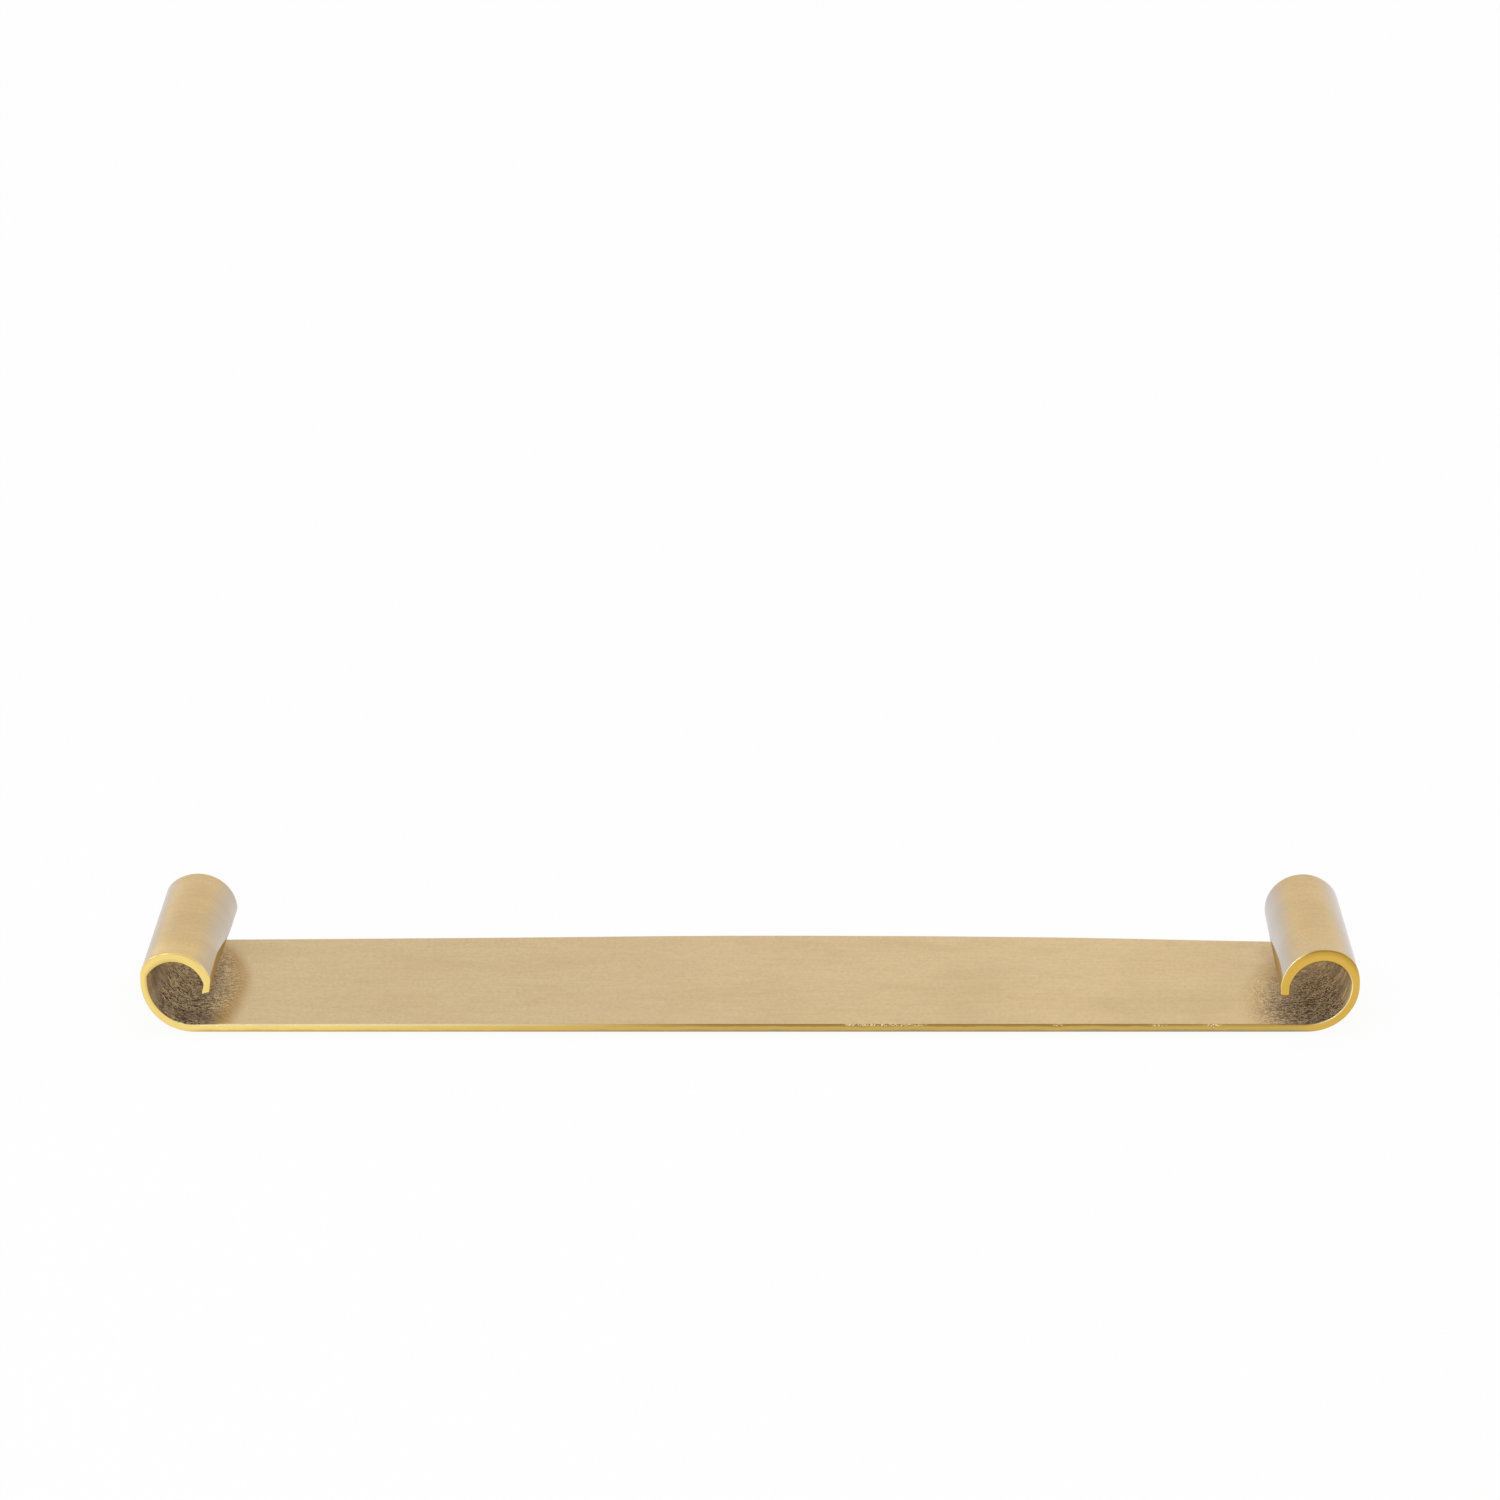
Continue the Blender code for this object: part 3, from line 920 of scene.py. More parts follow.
def cast_wrinkles():
    """The wrinkled skin that the sand leaves on brass: wavy creases, broken up by lumps."""
    sizes = {"Spacing": 0.003}
    bench, given, out = new_effect("cast_wrinkles", sizes, ("Height", "Grooves"))
    scale = 1.0 / given["Spacing"]
    lean = {"Vector": given["Vector"], "Rotation": CREASE_LEAN}
    leaning = bench.get("ShaderNodeMapping", lean)
    waves = {
        "Vector": leaning,
        "Scale": scale * WAVE_LENGTH,
        "Distortion": 9.0,
        "Detail": 2.5,
        "Detail Scale": 3.2,
        "Detail Roughness": 0.7,
    }
    bands = {"wave_type": "BANDS", "bands_direction": "Y"}
    creases = bench.get("ShaderNodeTexWave", waves, "Fac", **bands)
    drawn_out = bench.vector("MULTIPLY", leaning, LUMP_STRETCH)
    lumps = bench.noise(drawn_out, scale * LUMP_FINENESS, *LUMP_NOISE).ramp(*LUMP_LIMITS)
    height = bench.mix(LUMP_SHARE, creases, lumps)
    bench.fill(out, {"Height": height, "Grooves": height.ease(*GROOVE_DEPTHS)})


# Finishes

SATIN_TAN = (0.675, 0.474, 0.195)
SATIN_WARM = (0.765, 0.545, 0.238)
SATIN_GREY = (0.680, 0.490, 0.222)
SATIN_GOLD = (0.655, 0.440, 0.150)
SATIN_PALE = (0.660, 0.480, 0.235)
SATIN_BRIGHT = (0.760, 0.530, 0.195)
SATIN_POLISHED = (0.900, 0.630, 0.230)
SATIN_SHADE = (0.480, 0.315, 0.125)
# Painted reflection on the flanks: a darker tone and a pale bluish one
SATIN_FLANK = (0.430, 0.315, 0.185)
SATIN_REFLECTION = (0.500, 0.430, 0.370)
BRONZE = (0.450, 0.285, 0.035)
SKIN_GLOW = (0.585, 0.355, 0.085)
SKIN_GLOW_PALE = (0.760, 0.550, 0.245)
SKIN_BROWN = (0.490, 0.350, 0.195)
SKIN_DARK = (0.070, 0.019, 0.002)
SKIN_LIGHT = (1.000, 0.762, 0.420)
EDGE_PALE = (0.925, 0.700, 0.240)
EDGE_DEEP = (0.695, 0.440, 0.085)
EDGE_STRIP = (0.560, 0.380, 0.115)
EDGE_SHADE = (0.380, 0.240, 0.065)
EDGE_GREY = (0.340, 0.280, 0.165)
EDGE_FOOT = (0.620, 0.420, 0.120)
EDGE_INNER = (0.620, 0.410, 0.105)
EDGE_CROWN = (0.420, 0.240, 0.032)
EDGE_LINE = (0.150, 0.090, 0.025)
EDGE_GLINT = (1.000, 0.880, 0.500)
FELT_BROWN = (0.055, 0.034, 0.022)
FELT_PALE = (0.140, 0.098, 0.070)
WHITE = (1.0, 1.0, 1.0)
COOL_SHEEN = (0.74, 0.79, 1.0)

# Ramps over the wall: from where each is 0 to where it is 1, or to run between two more values.
# Places are in metres: along the tray (X, or OUT from its middle), to the back (Y) and up (Z)
BRONZE_EDGE = (-0.0004, 0.0003)
WARMER_X = (-0.20, 0.22)
WORN_Y = (-0.035, -0.062)
POLISHED_Y = (-0.030, -0.056)
CROSS_BRUSHED_OUT = (0.236, 0.252)
DEEPER_OUT = (0.252, 0.278, 0.5, 1.0)
# Painted light towards the open back of the rolls, painted shade towards their front and low
# down inside them
BACK_LIGHT_Y = (-0.040, 0.020)
FRONT_SHADE_Y = (-0.030, -0.058, 0.0, 0.26)
LOW_SHADE_FROM_OUT = (0.254, 0.270)
LOW_SHADE_TO_OUT = (0.290, 0.279)
LOW_SHADE_Z = (0.018, 0.008)
# By how far a face is turned out towards the end of the tray, for the painted reflection on the
# flanks
OUTER_FLANK = (0.28, 0.86)
INNER_FLANK = (-0.40, -0.94)
INNER_REFLECTION = (-0.62, -1.00, 0.0, 0.8)
# By an effect's own value
MOTTLE = (0.30, 0.70, 0.93, 1.07)
GRAIN = (0.3, 0.7, 0.0, 0.17)
CROSS_MARKS = (0.36, 0.70)
STREAKS = (0.40, 0.60)
SATIN_ROUGHNESS = (0.3, 0.7, 0.385, 0.415)
SKIN_ROUGHNESS = (0.0, 1.0, 0.42, 0.72)
# By how raw the metal is
RAGGED = (0.0, 0.5)
GLOWING = (0.02, 0.45)
SKIN_COLOURED = (0.35, 0.95)
WRINKLED = (0.02, 0.55)
METALLIC = (0.4, 1.0, 1.0, 0.75)
LACQUERED = (0.1, 0.7, 1.0, 0.0)
BRUSHED = (0.0, 0.5, 1.0, 0.0)

# Values at the left end of the wall and at the right end
# How much painted light from the open back lightens the skin
BACK_LIGHTING = (0.36, 0.60)
STREAKING = (0.55, 1.0)

# How much of a tone is laid over the others where it is at its fullest
TAN_SHARE = 0.6
POLISHED_SHARE = 0.9
BRIGHT_SHARE = 0.5
SMUDGE_SHARE = 0.10
OUTER_SMUDGE_SHARE = 0.08
CROSS_MARK_SHARE = 0.4
# Shares of the painted reflection on the flanks
FLANK_SHARE = 0.9
OUTER_REFLECTION_SHARE = 0.35
SOOT_SHARE = 0.35
SIDE_SOOT_SHARE = 0.5
# Painted shade low inside the rolls
LOW_SHADE_SHARE = 0.14
SIDE_SHARE = 0.85
# How much the bands count in the grain, and how far the wrinkles push the raw metal's border
BANDS_IN_GRAIN = 0.4
WRINKLE_PUSH = 0.7
WRINKLE_PULL = 0.30
# The lacquer and how much more of it the flanks have, the roughness that smudges add, and how
# much of their wrinkles the smooth side walls lose
LACQUER = 0.5
FLANK_LACQUER = 0.35
SMUDGE_ROUGHNESS = 0.05
SIDE_SMOOTHING = 0.75

# How fine the mottling and the streaks are, along and across the unrolled wall
MOTTLE_FINENESS = (620.0, 420.0, 620.0)
STREAK_FINENESS = (60.0, 520.0, 60.0)

# Ramps over the polished edge, written the same way
# Painted light from the left, fading towards the right
SHADE_TO_RIGHT_X = (-0.27, 0.02)
STRIP_OUT = (0.282, 0.266)
STRIP_Z = (0.014, 0.009)
UPPER_SHADE_FROM_X = (-0.12, 0.0)
UPPER_SHADE_TO_X = (0.19, 0.24, 1.0, 0.4)
TOP_HIGHLIGHT_X = (-0.02, -0.16, 0.0, 0.7)
UNDERNEATH_Z = (0.034, 0.012, 0.0, 0.7)
LEFT_WALL_X = (-0.274, -0.288)
LEFT_WALL_Z = (0.010, 0.024)
RIGHT_WALL_X = (0.272, 0.284)
RIGHT_WALL_Z = (0.034, 0.024)
RIGHT_CROWN_X = (0.266, 0.276)
RIGHT_CROWN_Z = (0.028, 0.038)
RIGHT_LIP_X = (0.278, 0.269)
# Stretches of the front edge with painted glints
GLINT_X = ((-0.286, -0.274), (0.045, 0.088), (0.148, 0.156), (0.196, 0.206), (0.222, 0.234))
GLINT_FADE = 0.004
# Across the edge's face, from 0 on the inside of the wall to 1 on the outside
UPPER_SHADE = (0.66, 0.36)
LOWER_SHADE = (0.84, 1.08)
# Painted highlight along the top
TOP_HIGHLIGHT = (0.28, 0.14)
RIM_SHADE = (0.90, 0.98)
GLINT_BAND = (0.24, 0.17)
WALL_SHADE = (0.50, 0.10, 0.0, 0.65)
CROWN_SHADE = (0.45, 0.98, 0.0, 0.78)
INNER_SHADOW = (0.13, 0.04, 0.0, 0.85)
# Painted highlights along the right ring's corners
OUTER_HIGHLIGHT = (0.91, 0.97)
INNER_HIGHLIGHT = (0.20, 0.08)
# How uneven its shaded borders are, shares of its tones, and what lines and clouds add to it
BORDER_RIPPLE = 0.5
STRIP_SHARE = 0.75
FOOT_SHARE = 0.9
EDGE_SMUDGE_SHARE = 0.12
EDGE_PIT_SHARE = 0.35
EDGE_LINE_RELIEF = 0.15
EDGE_CLOUD_ROUGHNESS = 0.06
# By an effect's own value
GLINT_BEADS = (0.50, 0.58)
EDGE_ROUGHNESS = (0.2, 0.8, 0.17, 0.27)
FELT_TONES = (0.35, 0.7, 0.0, 0.7)
FELT_ROUGHNESS = (0.3, 0.7, 0.9, 1.0)
# How much paler the clouds make the felt
FELT_CLOUD_SHARE = 0.25

# Strength and distance of each bump
BRUSH_BUMP = (0.3, 0.00004)
PIT_BUMP = (0.6, 0.0003)
WRINKLE_BUMP = (1.0, 0.0010)
EDGE_MARK_BUMP = (0.12, 0.00005)
EDGE_CROWN_BUMP = (1.0, 0.0001)
FELT_BUMP = (0.8, 0.0003)

# Noise: scale, detail, roughness and distortion
RIPPLE_NOISE = (70.0, 4.0, 0.6)
BEAD_NOISE = (1500.0, 1.0)
FELT_NOISE = (2600.0, 4.0, 0.75, 2.5)


def new_finish(name):
    material = bpy.data.materials.new(name)
    material.use_nodes = True
    bench = Bench(material.node_tree)
    return material, bench, material.node_tree.nodes["Principled BSDF"]


class Wall:
    """What the colours of the wall are worked out from."""

    def __init__(self, bench):
        self.bench = bench
        self.unrolled = bench.attribute("unrolled", "Vector")
        self.along, self.toward_back, _ = bench.axes(self.unrolled)
        self.x, self.y, self.z = bench.axes(bench.coordinates("Object"))
        self.from_middle = abs(self.x)
        self.outside = bench.attribute("outside")
        self.warmth = self.x.ease(*WARMER_X)
        self.bronzed = bench.attribute("lip_facet").ease(*BRONZE_EDGE)
        self.lines = bench.effect("brush_lines", self.unrolled, Length=0.018, Width=0.00045)
        self.clouds = self.patches(0.07)
        pits = bench.effect("casting_pits", self.unrolled, Spacing=0.016, Size=0.0007)
        self.pits = pits["Pits"]
        self.wrinkles = bench.effect("cast_wrinkles", self.unrolled, Spacing=0.0021)

        # Painted reflection: faces turned out towards the ends of the tray get darker and paler
        # bluish tones, standing for the surroundings they reflect
        normal_x = bench.axis(bench.coordinates("Normal"), "X")
        turned_out = normal_x * bench.math("SIGN", self.x)
        outer_flank = turned_out.ease(*OUTER_FLANK)
        inner_flank = turned_out.ease(*INNER_FLANK)
        self.flank = (outer_flank + inner_flank) * self.outside
        flank_reflection_share = outer_flank * OUTER_REFLECTION_SHARE + turned_out.ease(*INNER_REFLECTION)
        self.flank_reflection = flank_reflection_share * self.outside * self.warmth

    def patches(self, size):
        return self.bench.effect("tarnish_clouds", self.unrolled, Size=size)


def satin_colour(bench, wall):
    """The brushed metal: tan, greyer to the left, golden round the rolls, worn at the front."""
    polished = wall.toward_back.ease(*POLISHED_Y)
    polished = bench.math("MULTIPLY", polished, wall.outside - wall.warmth, clamp=True)
    bright = (1.0 - wall.patches(0.03)["Clouds"]) * wall.outside
    smudged = wall.outside * OUTER_SMUDGE_SHARE + SMUDGE_SHARE
    satin = bench.coats(
        SATIN_GREY,
        (wall.warmth, SATIN_WARM),
        (wall.clouds["Clouds"] * TAN_SHARE, SATIN_TAN),
        (wall.outside, SATIN_GOLD),
        (wall.toward_back.ease(*WORN_Y) * wall.outside * wall.warmth, SATIN_PALE),
        (polished * POLISHED_SHARE, SATIN_POLISHED),
        (bright * BRIGHT_SHARE, SATIN_BRIGHT),
        (wall.clouds["Smudges"] * smudged, SATIN_SHADE),
    )
    mottled = bench.vector("MULTIPLY", wall.unrolled, MOTTLE_FINENESS)
    mottle = bench.noise(mottled, roughness=0.65).ramp(*MOTTLE)
    satin = bench.mix(1.0, satin, mottle, "RGBA", "MULTIPLY")

    turned = bench.point(wall.toward_back, wall.along)
    cross = bench.effect("brush_lines", turned, Length=0.012, Width=0.0011)["Lines"]
    beside_skin = wall.from_middle.ease(*CROSS_BRUSHED_OUT) * (1.0 - wall.outside)
    grain = bench.mix(BANDS_IN_GRAIN, wall.lines["Lines"], wall.lines["Bands"])
    return bench.coats(
        satin,
        (grain.ramp(*GRAIN), SATIN_SHADE),
        (cross.ramp(*CROSS_MARKS) * beside_skin * CROSS_MARK_SHARE, SATIN_SHADE),
        # Painted reflection on the flanks
        (wall.flank * FLANK_SHARE, SATIN_FLANK),
        (wall.flank_reflection, SATIN_REFLECTION),
        (wall.bronzed, BRONZE),
        (wall.pits, SKIN_BROWN),
    )


def skin_colour(bench, wall):
    """The raw metal: dark grooves and soot, most deep in the rolls, partly tarnish and partly
    painted shade; painted shade towards the front and low down, painted light towards the open
    back; streaks down the sides.
    """
    # Darker deep in the rolls: partly tarnish, partly painted shade
    deep = wall.from_middle.ease(*DEEPER_OUT)
    # Painted light from the open back of the rolls lightens the skin there
    lit_from_back = wall.y.ease(*BACK_LIGHT_Y)
    kept_dark = deep - lit_from_back * bench.mix(wall.warmth, *BACK_LIGHTING)
    # Dark grooves: partly tarnish in them, partly painted shade in the creases
    grooves = bench.math("MULTIPLY", wall.wrinkles["Grooves"], kept_dark, clamp=True)
    soot = wall.patches(0.022)["Clouds"]
    # Painted shade low down inside the rolls
    low_shade = wall.from_middle.ease(*LOW_SHADE_FROM_OUT) * wall.from_middle.ease(*LOW_SHADE_TO_OUT)
    # Soot patches deep in the rolls, fewer where painted light comes in from the back, and
    # painted shade towards the front
    soot_and_shade = soot * deep * SOOT_SHARE * (1.0 - lit_from_back) + wall.y.ease(*FRONT_SHADE_Y) * deep
    soot_and_shade = soot_and_shade + low_shade * wall.z.ease(*LOW_SHADE_Z) * LOW_SHADE_SHARE

    streaks = bench.noise(bench.vector("MULTIPLY", wall.unrolled, STREAK_FINENESS), detail=3.0)
    streaks = streaks.ease(*STREAKS) * bench.mix(wall.warmth, *STREAKING)
    side_soot = soot * SIDE_SOOT_SHARE
    side = bench.coats(SKIN_BROWN, (streaks, SKIN_LIGHT), (side_soot, SKIN_DARK))
    on_side = bench.attribute("smooth_side") * SIDE_SHARE
    return bench.coats(SKIN_LIGHT, (grooves, SKIN_DARK), (soot_and_shade, SKIN_DARK), (on_side, side))


def wall_brass():
    """Satin brass on the plate and round the rolls, raw cast skin where it was never brushed."""
    material, bench, shader = new_finish("brushed_and_raw_brass")
    wall = Wall(bench)
    skin_mask = bench.attribute("cast_skin")
    wrinkles = wall.wrinkles["Height"]
    ragged = (wrinkles * WRINKLE_PUSH - WRINKLE_PULL) * skin_mask.ramp(*RAGGED)
    raw = bench.math("ADD", skin_mask, ragged, clamp=True)
    golden = bench.coats(SKIN_GLOW, (wall.warmth, SKIN_GLOW_PALE))
    colour = bench.coats(
        satin_colour(bench, wall),
        (raw.ramp(*GLOWING), golden),
        (raw.ramp(*SKIN_COLOURED), skin_colour(bench, wall)),
    )
    satin_rough = wall.lines["Bands"].ramp(*SATIN_ROUGHNESS)
    satin_rough = satin_rough + wall.clouds["Smudges"] * SMUDGE_ROUGHNESS
    skin_rough = wall.wrinkles["Grooves"].ramp(*SKIN_ROUGHNESS)
    lacquer = (wall.flank * FLANK_LACQUER + LACQUER) * raw.ramp(*LACQUERED)
    lacquer = lacquer * (1.0 - wall.bronzed)
    brushed = bench.bump(wall.lines["Lines"] * raw.ramp(*BRUSHED), *BRUSH_BUMP)
    pitted = bench.bump(1.0 - wall.pits, *PIT_BUMP, Normal=brushed)
    smoother = 1.0 - bench.attribute("smooth_side") * SIDE_SMOOTHING
    wrinkled = wrinkles * skin_mask.ramp(*WRINKLED) * smoother
    tangent = {"direction_type": "UV_MAP", "uv_map": "across_brushing"}
    bench.fill(
        shader,
        {
            "Base Color": colour,
            "Roughness": bench.mix(raw, satin_rough, skin_rough),
            "Metallic": raw.ramp(*METALLIC),
            "Coat Weight": lacquer,
            "Coat Roughness": 0.18,
            "Coat IOR": 1.45,
            "Sheen Weight": 0.10,
            "Sheen Roughness": 0.32,
            "Sheen Tint": COOL_SHEEN,
            "Anisotropic": 0.75,
            "Tangent": bench.get("ShaderNodeTangent", **tangent),
            "Normal": bench.bump(wrinkled, *WRINKLE_BUMP, Normal=pitted),
        },
    )
    return material


def glinting_stretches(bench, x):
    """1 on the stretches of the front edge that kept a burr and get painted glints, and 0 off
    them.
    """
    glinting = 0.0
    for start, end in GLINT_X:
        stretch = x.ramp(start, start + GLINT_FADE) * x.ramp(end, end - GLINT_FADE)
        glinting = bench.most(glinting, stretch)
    return glinting


class Edge:
    """What the tones of the polished edge are worked out from."""

    def __init__(self, bench):
        self.unrolled = bench.attribute("unrolled", "Vector")
        self.place = bench.coordinates("Object")
        self.x, _, self.z = bench.axes(self.place)
        self.across = bench.attribute("outside")
        # Painted light from the left: the edge is paler at its left end and darker towards the
        # right
        self.shaded_to_right = self.x.ease(*SHADE_TO_RIGHT_X)
        self.low = self.z.ease(*STRIP_Z)
        self.on_strip = abs(self.x).ease(*STRIP_OUT) * self.low
        self.on_ring = 1.0 - self.on_strip
        self.right_wall = self.x.ease(*RIGHT_WALL_X) * self.z.ramp(*RIGHT_WALL_Z)


def strip_tones(bench, edge):
    """The strip along the front of the plate, shaded above and below by an uneven border; the
    shade below is a painted shadow, and a painted highlight runs along its top on the left.
    """
    x, on_strip = edge.x, edge.on_strip
    uneven = bench.noise(edge.unrolled, *RIPPLE_NOISE) * BORDER_RIPPLE + edge.across
    upper = uneven.ease(*UPPER_SHADE) * x.ease(*UPPER_SHADE_FROM_X) * x.ramp(*UPPER_SHADE_TO_X)
    lower = uneven.ease(*LOWER_SHADE) * on_strip
    # Painted shadow along the foot of the strip, greyer towards the right
    foot = bench.coats(EDGE_FOOT, (edge.shaded_to_right, EDGE_GREY))
    # Painted highlight along the top of the strip, towards the left
    top_highlight = edge.across.ramp(*TOP_HIGHLIGHT) * on_strip * x.ramp(*TOP_HIGHLIGHT_X)
    # Painted shade along the outer rim, stronger low down
    rim_shade = edge.across.ramp(*RIM_SHADE) * edge.z.ease(*UNDERNEATH_Z)
    return bench.coats(
        EDGE_PALE,
        (edge.shaded_to_right, EDGE_DEEP),
        (on_strip * edge.shaded_to_right * STRIP_SHARE, EDGE_STRIP),
        (upper * on_strip, EDGE_SHADE),
        (lower * FOOT_SHARE, foot),
        (top_highlight, EDGE_GLINT),
        (rim_shade, EDGE_SHADE),
    )


def ring_tones(bench, edge, strip):
    """The rings round the ends of the rolls, shaded over the tones of the strip."""
    x, z, across = edge.x, edge.z, edge.across
    left_wall = x.ease(*LEFT_WALL_X) * edge.on_ring * z.ramp(*LEFT_WALL_Z)
    right_crown = z.ease(*RIGHT_CROWN_Z) * x.ease(*RIGHT_CROWN_X)
    inner_shadow = across.ramp(*INNER_SHADOW) * edge.on_ring * (1.0 - edge.right_wall)
    return bench.coats(
        strip,
        (across.ramp(*WALL_SHADE) * left_wall, EDGE_INNER),
        (across.ramp(*CROWN_SHADE) * right_crown, EDGE_CROWN),
        (inner_shadow, EDGE_LINE),
    )


def painted_highlights(bench, edge):
    """Painted highlights: glints on the burr along the front, and bright lines along the corners
    of the right ring.
    """
    x, across = edge.x, edge.across
    # Painted glints on the burr along the top of the strip
    beads = bench.noise(edge.place, *BEAD_NOISE).ramp(*GLINT_BEADS)
    burr_glints = beads * across.ramp(*GLINT_BAND) * (glinting_stretches(bench, x) * edge.low)
    right_lip = x.ease(*RIGHT_LIP_X) * bench.math("GREATER_THAN", x, 0.0)
    # Painted highlights along the outer and inner corners of the right ring
    outer_highlight = across.ramp(*OUTER_HIGHLIGHT) * right_lip
    inner_highlight = across.ramp(*INNER_HIGHLIGHT) * edge.right_wall
    return bench.most(burr_glints, bench.most(outer_highlight, inner_highlight) * edge.on_ring)


def edge_brass():
    """Bright edge, ground flat and polished, with the marks of the belt along it."""
    material, bench, shader = new_finish("polished_edge_brass")
    edge = Edge(bench)
    lines = bench.effect("brush_lines", edge.unrolled, Length=0.012, Width=0.0006)["Lines"]
    clouds = bench.effect("tarnish_clouds", edge.unrolled, Size=0.05)
    pits = bench.effect("casting_pits", edge.unrolled, Spacing=0.011, Size=0.0004)["Pits"]
    colour = bench.coats(
        ring_tones(bench, edge, strip_tones(bench, edge)),
        # Painted highlights on the burr and the right ring's corners
        (painted_highlights(bench, edge), EDGE_GLINT),
        (clouds["Smudges"] * EDGE_SMUDGE_SHARE, BRONZE),
        (pits * EDGE_PIT_SHARE, SKIN_BROWN),
    )
    marked = bench.bump(lines * EDGE_LINE_RELIEF - pits, *EDGE_MARK_BUMP)
    from_centre = edge.across * 2.0 - 1.0
    crowned = 1.0 - from_centre * from_centre
    dulled = clouds["Clouds"] * EDGE_CLOUD_ROUGHNESS
    bench.fill(
        shader,
        {
            "Base Color": colour,
            "Metallic": 1.0,
            "Roughness": lines.ramp(*EDGE_ROUGHNESS) + dulled,
            "Normal": bench.bump(crowned, *EDGE_CROWN_BUMP, Normal=marked),
        },
    )
    return material


def felt_finish():
    """Dark pressed wool."""
    material, bench, shader = new_finish("pressed_wool_felt")
    place = bench.coordinates("Object")
    clouds = bench.effect("tarnish_clouds", place, Size=0.006)["Clouds"]
    fibres = bench.noise(place, *FELT_NOISE)
    pale = fibres.ramp(*FELT_TONES) + clouds * FELT_CLOUD_SHARE
    bench.fill(
        shader,
        {
            "Base Color": bench.coats(FELT_BROWN, (pale, FELT_PALE)),
            "Roughness": fibres.ramp(*FELT_ROUGHNESS),
            "Sheen Weight": 0.35,
            "Sheen Roughness": 0.6,
            "Normal": bench.bump(fibres, *FELT_BUMP),
        },
    )
    return material


# Pieces


def finish_faces(piece):
    """Faces outwards, smooth but for real corners and the flat ends of the lips."""
    built = bmesh.new()
    built.from_mesh(piece.data)
    bmesh.ops.recalc_face_normals(built, faces=built.faces)
    for face in built.faces:
        face.smooth = len(face.verts) <= 4
    built.to_mesh(piece.data)
    built.free()
    piece.data.set_sharp_from_angle(angle=CORNER_ANGLE)


def build_tray(wall, edge):
    outlines, stations = outline_points()
    loop, loop_points = rim_loop()
    values = {
        "Outlines": outlines,
        "Rim loop": loop,
        "Stations along": stations,
        "Stations round": loop_points,
        "Sections": SECTIONS,
        "Seed": SKIN_SEED,
        "Wall brass": wall,
        "Edge brass": edge,
    }
    start = bpy.data.meshes.new("tray_wall_start")
    tray = made_by_nodes("tray_wall", start, wall_loft_tree(), values | WALL_SIZES)
    for helper in (outlines, loop):
        bpy.data.objects.remove(helper)
    finish_faces(tray)
    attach(tray, "root")
    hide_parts("tray_body")


def pad_profile(radius, low, high):
    """From the middle of the foot, out round the soft rims and back to the middle of the top."""
    soft = (high - low) * PAD_SOFT_SHARE
    flat = radius - soft
    turns = quarter_turn(PAD_RIM_STEPS)
    return [
        *((share * flat, low) for share in PAD_RINGS),
        *((flat + soft * math.sin(a), low + soft * (1 - math.cos(a))) for a in turns),
        (radius - PAD_HOLLOW, (low + high) / 2),
        *((flat + soft * math.cos(a), high - soft * (1 - math.sin(a))) for a in turns),
        *((share * flat, high) for share in PAD_RINGS[::-1]),
    ]


def pad_mesh(name, centre, radius, low, high):
    """A die-cut disc, slightly hollow at its side and not quite round."""
    built = bmesh.new()
    rows = []
    for reach, z in pad_profile(radius, low, high):
        row = []
        for i in range(PAD_SIDES if reach else 1):
            angle = 2 * math.pi * i / PAD_SIDES
            wave = math.sin(PAD_WAVES[0] * angle + z * PAD_WAVE_TURN)
            wave *= math.sin(PAD_WAVES[1] * angle + centre.x * PAD_WAVE_SHIFT)
            out = reach * (1 - PAD_WOBBLE * (1 + wave))
            x = centre.x + out * math.cos(angle)
            y = centre.y + out * math.sin(angle)
            row.append(built.verts.new((x, y, z)))
        rows.append(row)
    for row, following in zip(rows, rows[1:]):
        for i in range(PAD_SIDES):
            corners = [(row, i), (row, i + 1), (following, i + 1), (following, i)]
            corners = dict.fromkeys(line[place % len(line)] for line, place in corners)
            built.faces.new(list(corners))
    bmesh.ops.recalc_face_normals(built, faces=built.faces)
    for face in built.faces:
        face.smooth = True
    mesh = bpy.data.meshes.new(name)
    built.to_mesh(mesh)
    built.free()
    return mesh


def build_pads(felt):
    tree = felt_fuzz_tree()
    nodes = sorted(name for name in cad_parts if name.startswith("felt_pad"))
    for seed, node in enumerate(nodes, FIRST_FIBRE_SEED):
        low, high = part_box(node)
        radius = (high.x - low.x) / 2 - PAD_FUZZ
        name = node.replace("felt_pad", "wool_pad")
        disc = pad_mesh(name + "_disc", (low + high) / 2, radius, low.z, high.z)
        values = {"Lowest": low.z, "Highest": high.z, "Seed": seed, "Felt": felt}
        pad = made_by_nodes(name, disc, tree, values | FIBRE_SIZES)
        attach(pad, "root")
        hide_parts(node)


# Table, light and camera

# A hair below the pads, so that no two faces share one plane
TABLE_TOP = -0.00005
TABLE_REACH = 9.0
PAPER_DIM = (0.95, 0.95, 0.95)
PAPER_PALE = (0.98, 0.98, 0.98)
PAPER_GLOW = 0.94

# Light by direction: a little dimmer from overhead, and from a darker room behind the camera
OVERHEAD = (0.05, 0.80, 1.0, 0.90)
ROOM_Y = (-0.10, -0.70)
ROOM_Z = (0.0, 0.25)
ROOM_DIMMING = 0.30

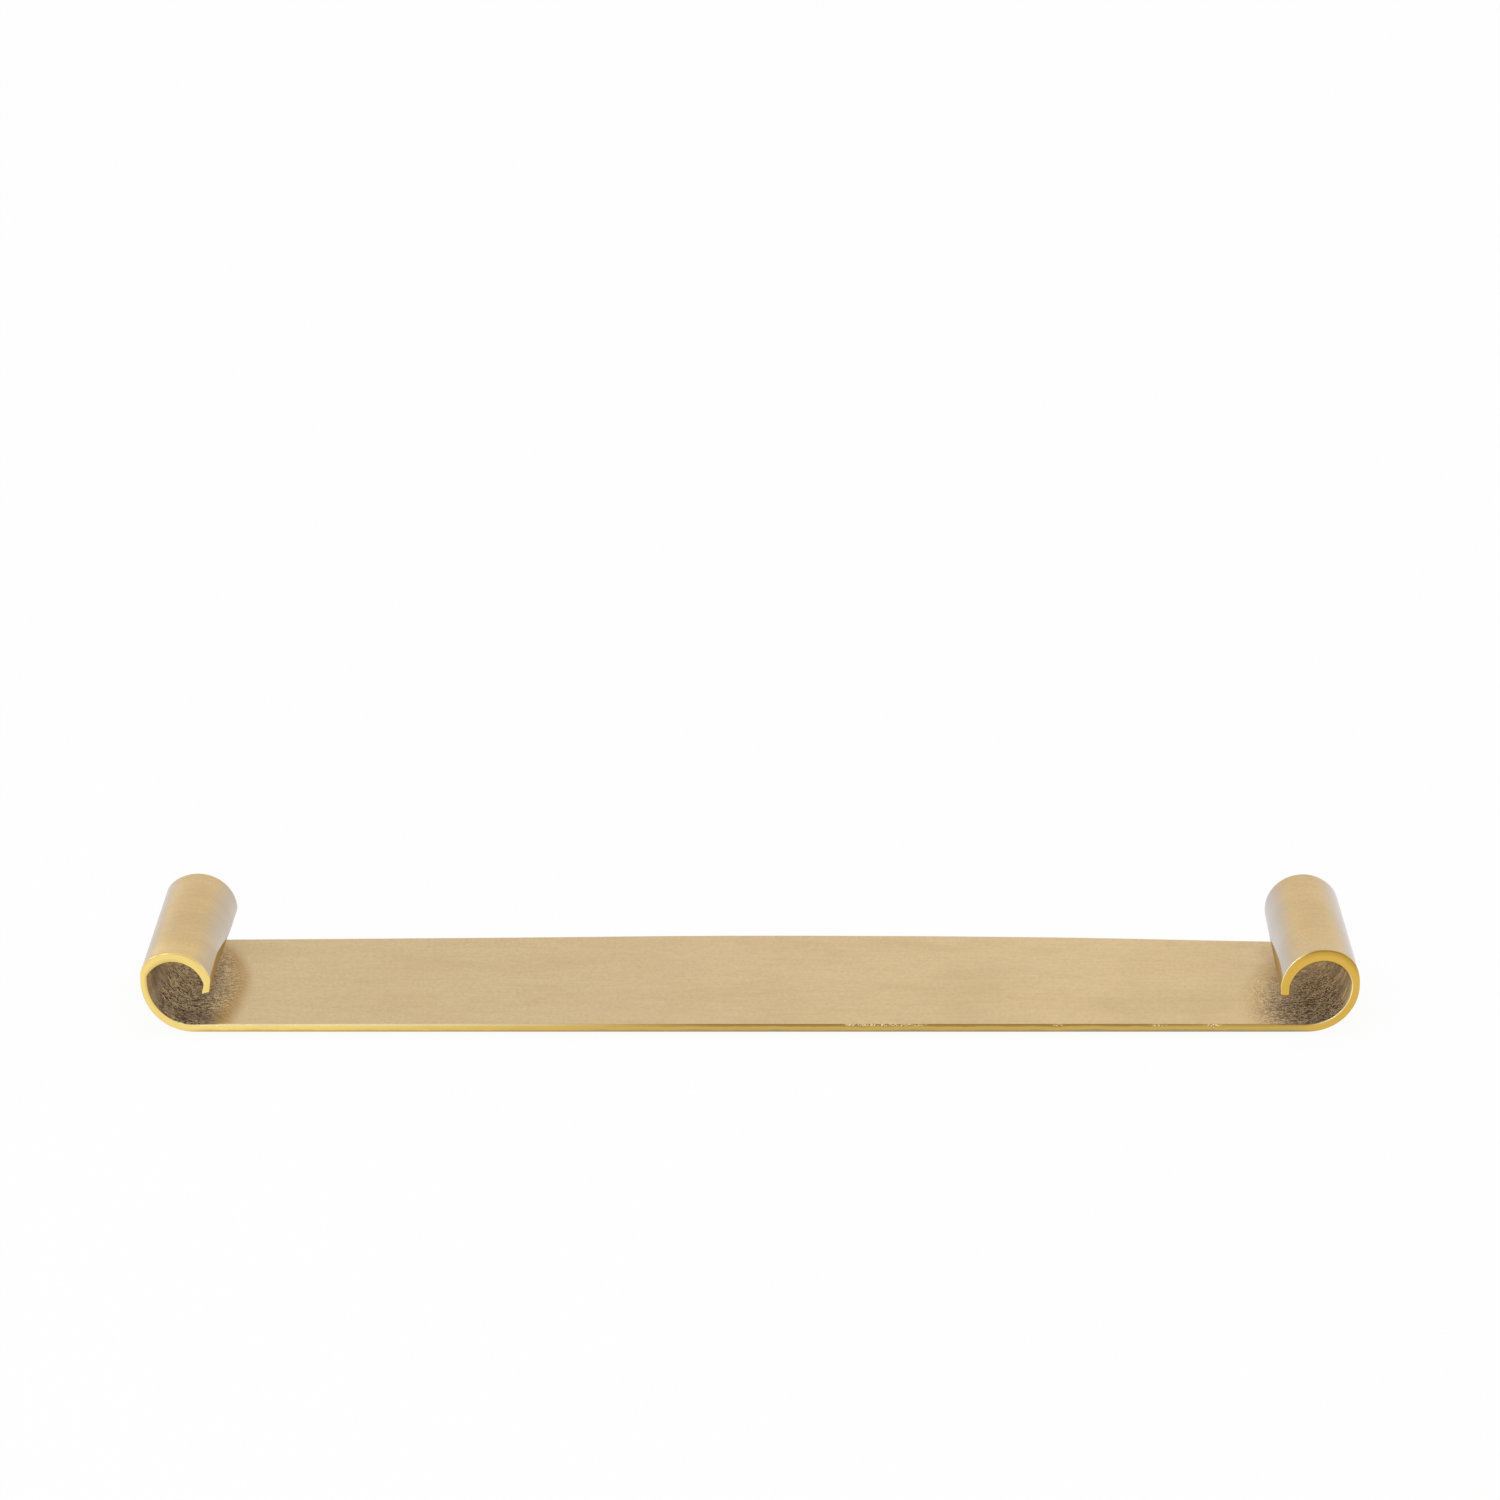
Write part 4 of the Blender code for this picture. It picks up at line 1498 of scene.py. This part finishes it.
# Place, where it points, size and power of each
SOFT_BOXES = {
    "left_soft_box": ((-1.5, -0.1, 1.35), (0.0, 0.0, 0.0), (0.36, 0.30), 2.6),
    "right_soft_box": ((1.6, -0.3, 1.1), (0.0, 0.0, 0.0), (0.36, 0.30), 1.2),
    "front_soft_box": ((-0.9, -2.2, 1.4), (-0.1, 0.0, 0.0), (0.50, 0.40), 3.0),
}


def seen_by(bench, *rays):
    """1 for these kinds of ray and 0 for the others."""
    path = bench.outputs("ShaderNodeLightPath")
    seen = 0.0
    for ray in rays:
        seen = bench.most(seen, path[ray])
    return seen


def build_table():
    mesh = bpy.data.meshes.new("white_table")
    corners = [(-1, -1), (1, -1), (1, 1), (-1, 1)]
    corners = [(x * TABLE_REACH, y * TABLE_REACH, TABLE_TOP) for x, y in corners]
    mesh.from_pydata(corners, [], [(0, 1, 2, 3)])
    table = placed_object("white_table", mesh)
    material, bench, shader = new_finish("white_table_paper")
    grain = bench.noise(bench.coordinates("Object"), scale=60.0, detail=3.0)
    paper = bench.coats(PAPER_DIM, (grain, PAPER_PALE))
    bench.fill(shader, {"Base Color": paper, "Roughness": 0.9})
    seen = seen_by(bench, "Is Camera Ray", "Is Glossy Ray", "Is Transmission Ray")
    glow = bench.get("ShaderNodeEmission", {"Color": WHITE, "Strength": 1.0})
    lit = {0: seen * PAPER_GLOW, 1: Signal(bench, shader.outputs[0]), 2: glow}
    surface = bench.get("ShaderNodeMixShader", lit)
    bench.fill(material.node_tree.nodes["Material Output"], {"Surface": surface})
    mesh.materials.append(material)
    table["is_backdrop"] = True


def light_world():
    world = bpy.data.worlds.new("pale_studio")
    bpy.context.scene.world = world
    world.use_nodes = True
    bench = Bench(world.node_tree)
    seen = seen_by(bench, "Is Camera Ray", "Is Transmission Ray")
    _, y, z = bench.axes(bench.coordinates("Generated"))
    room = y.ease(*ROOM_Y) * z.ease(*ROOM_Z)
    reflected = z.ease(*OVERHEAD) * (1.0 - room * ROOM_DIMMING)
    background = world.node_tree.nodes["Background"]
    bench.fill(background, {"Color": WHITE, "Strength": bench.mix(seen, reflected, 1.0)})


def soft_box(name, place, aim, size, power):
    lamp = bpy.data.lights.new(name, "AREA")
    lamp.shape = "RECTANGLE"
    lamp.size, lamp.size_y = size
    lamp.energy = power
    made = placed_object(name, lamp)
    made.location = place
    made.rotation_euler = (Vector(aim) - Vector(place)).to_track_quat("-Z", "Y").to_euler()


def set_camera():
    camera = bpy.data.cameras.new("tray_camera")
    camera.sensor_width = 36.0
    camera.lens = 128.5
    camera.shift_x = -0.0337
    camera.shift_y = 0.0003
    camera.clip_start = 0.05
    camera.clip_end = 50.0
    made = placed_object("tray_camera", camera)
    made.location = (0.0248, -2.5290, 0.9536)
    made.rotation_euler = (math.radians(71.9), 0.0, 0.0)
    bpy.context.scene.camera = made


def write_boxes():
    boxes = {"cad": packed_box, "visual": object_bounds()}
    {name: [list(corner) for corner in box] for name, box in boxes.items()}


def main():
    for make_effect in (brush_lines, tarnish_clouds, casting_pits, cast_wrinkles):
        make_effect()
    build_tray(wall_brass(), edge_brass())
    build_pads(felt_finish())
    build_table()
    light_world()
    for name, setting in SOFT_BOXES.items():
        soft_box(name, *setting)
    set_camera()
    bpy.context.scene.view_settings.view_transform = "Standard"
    write_boxes()


main()
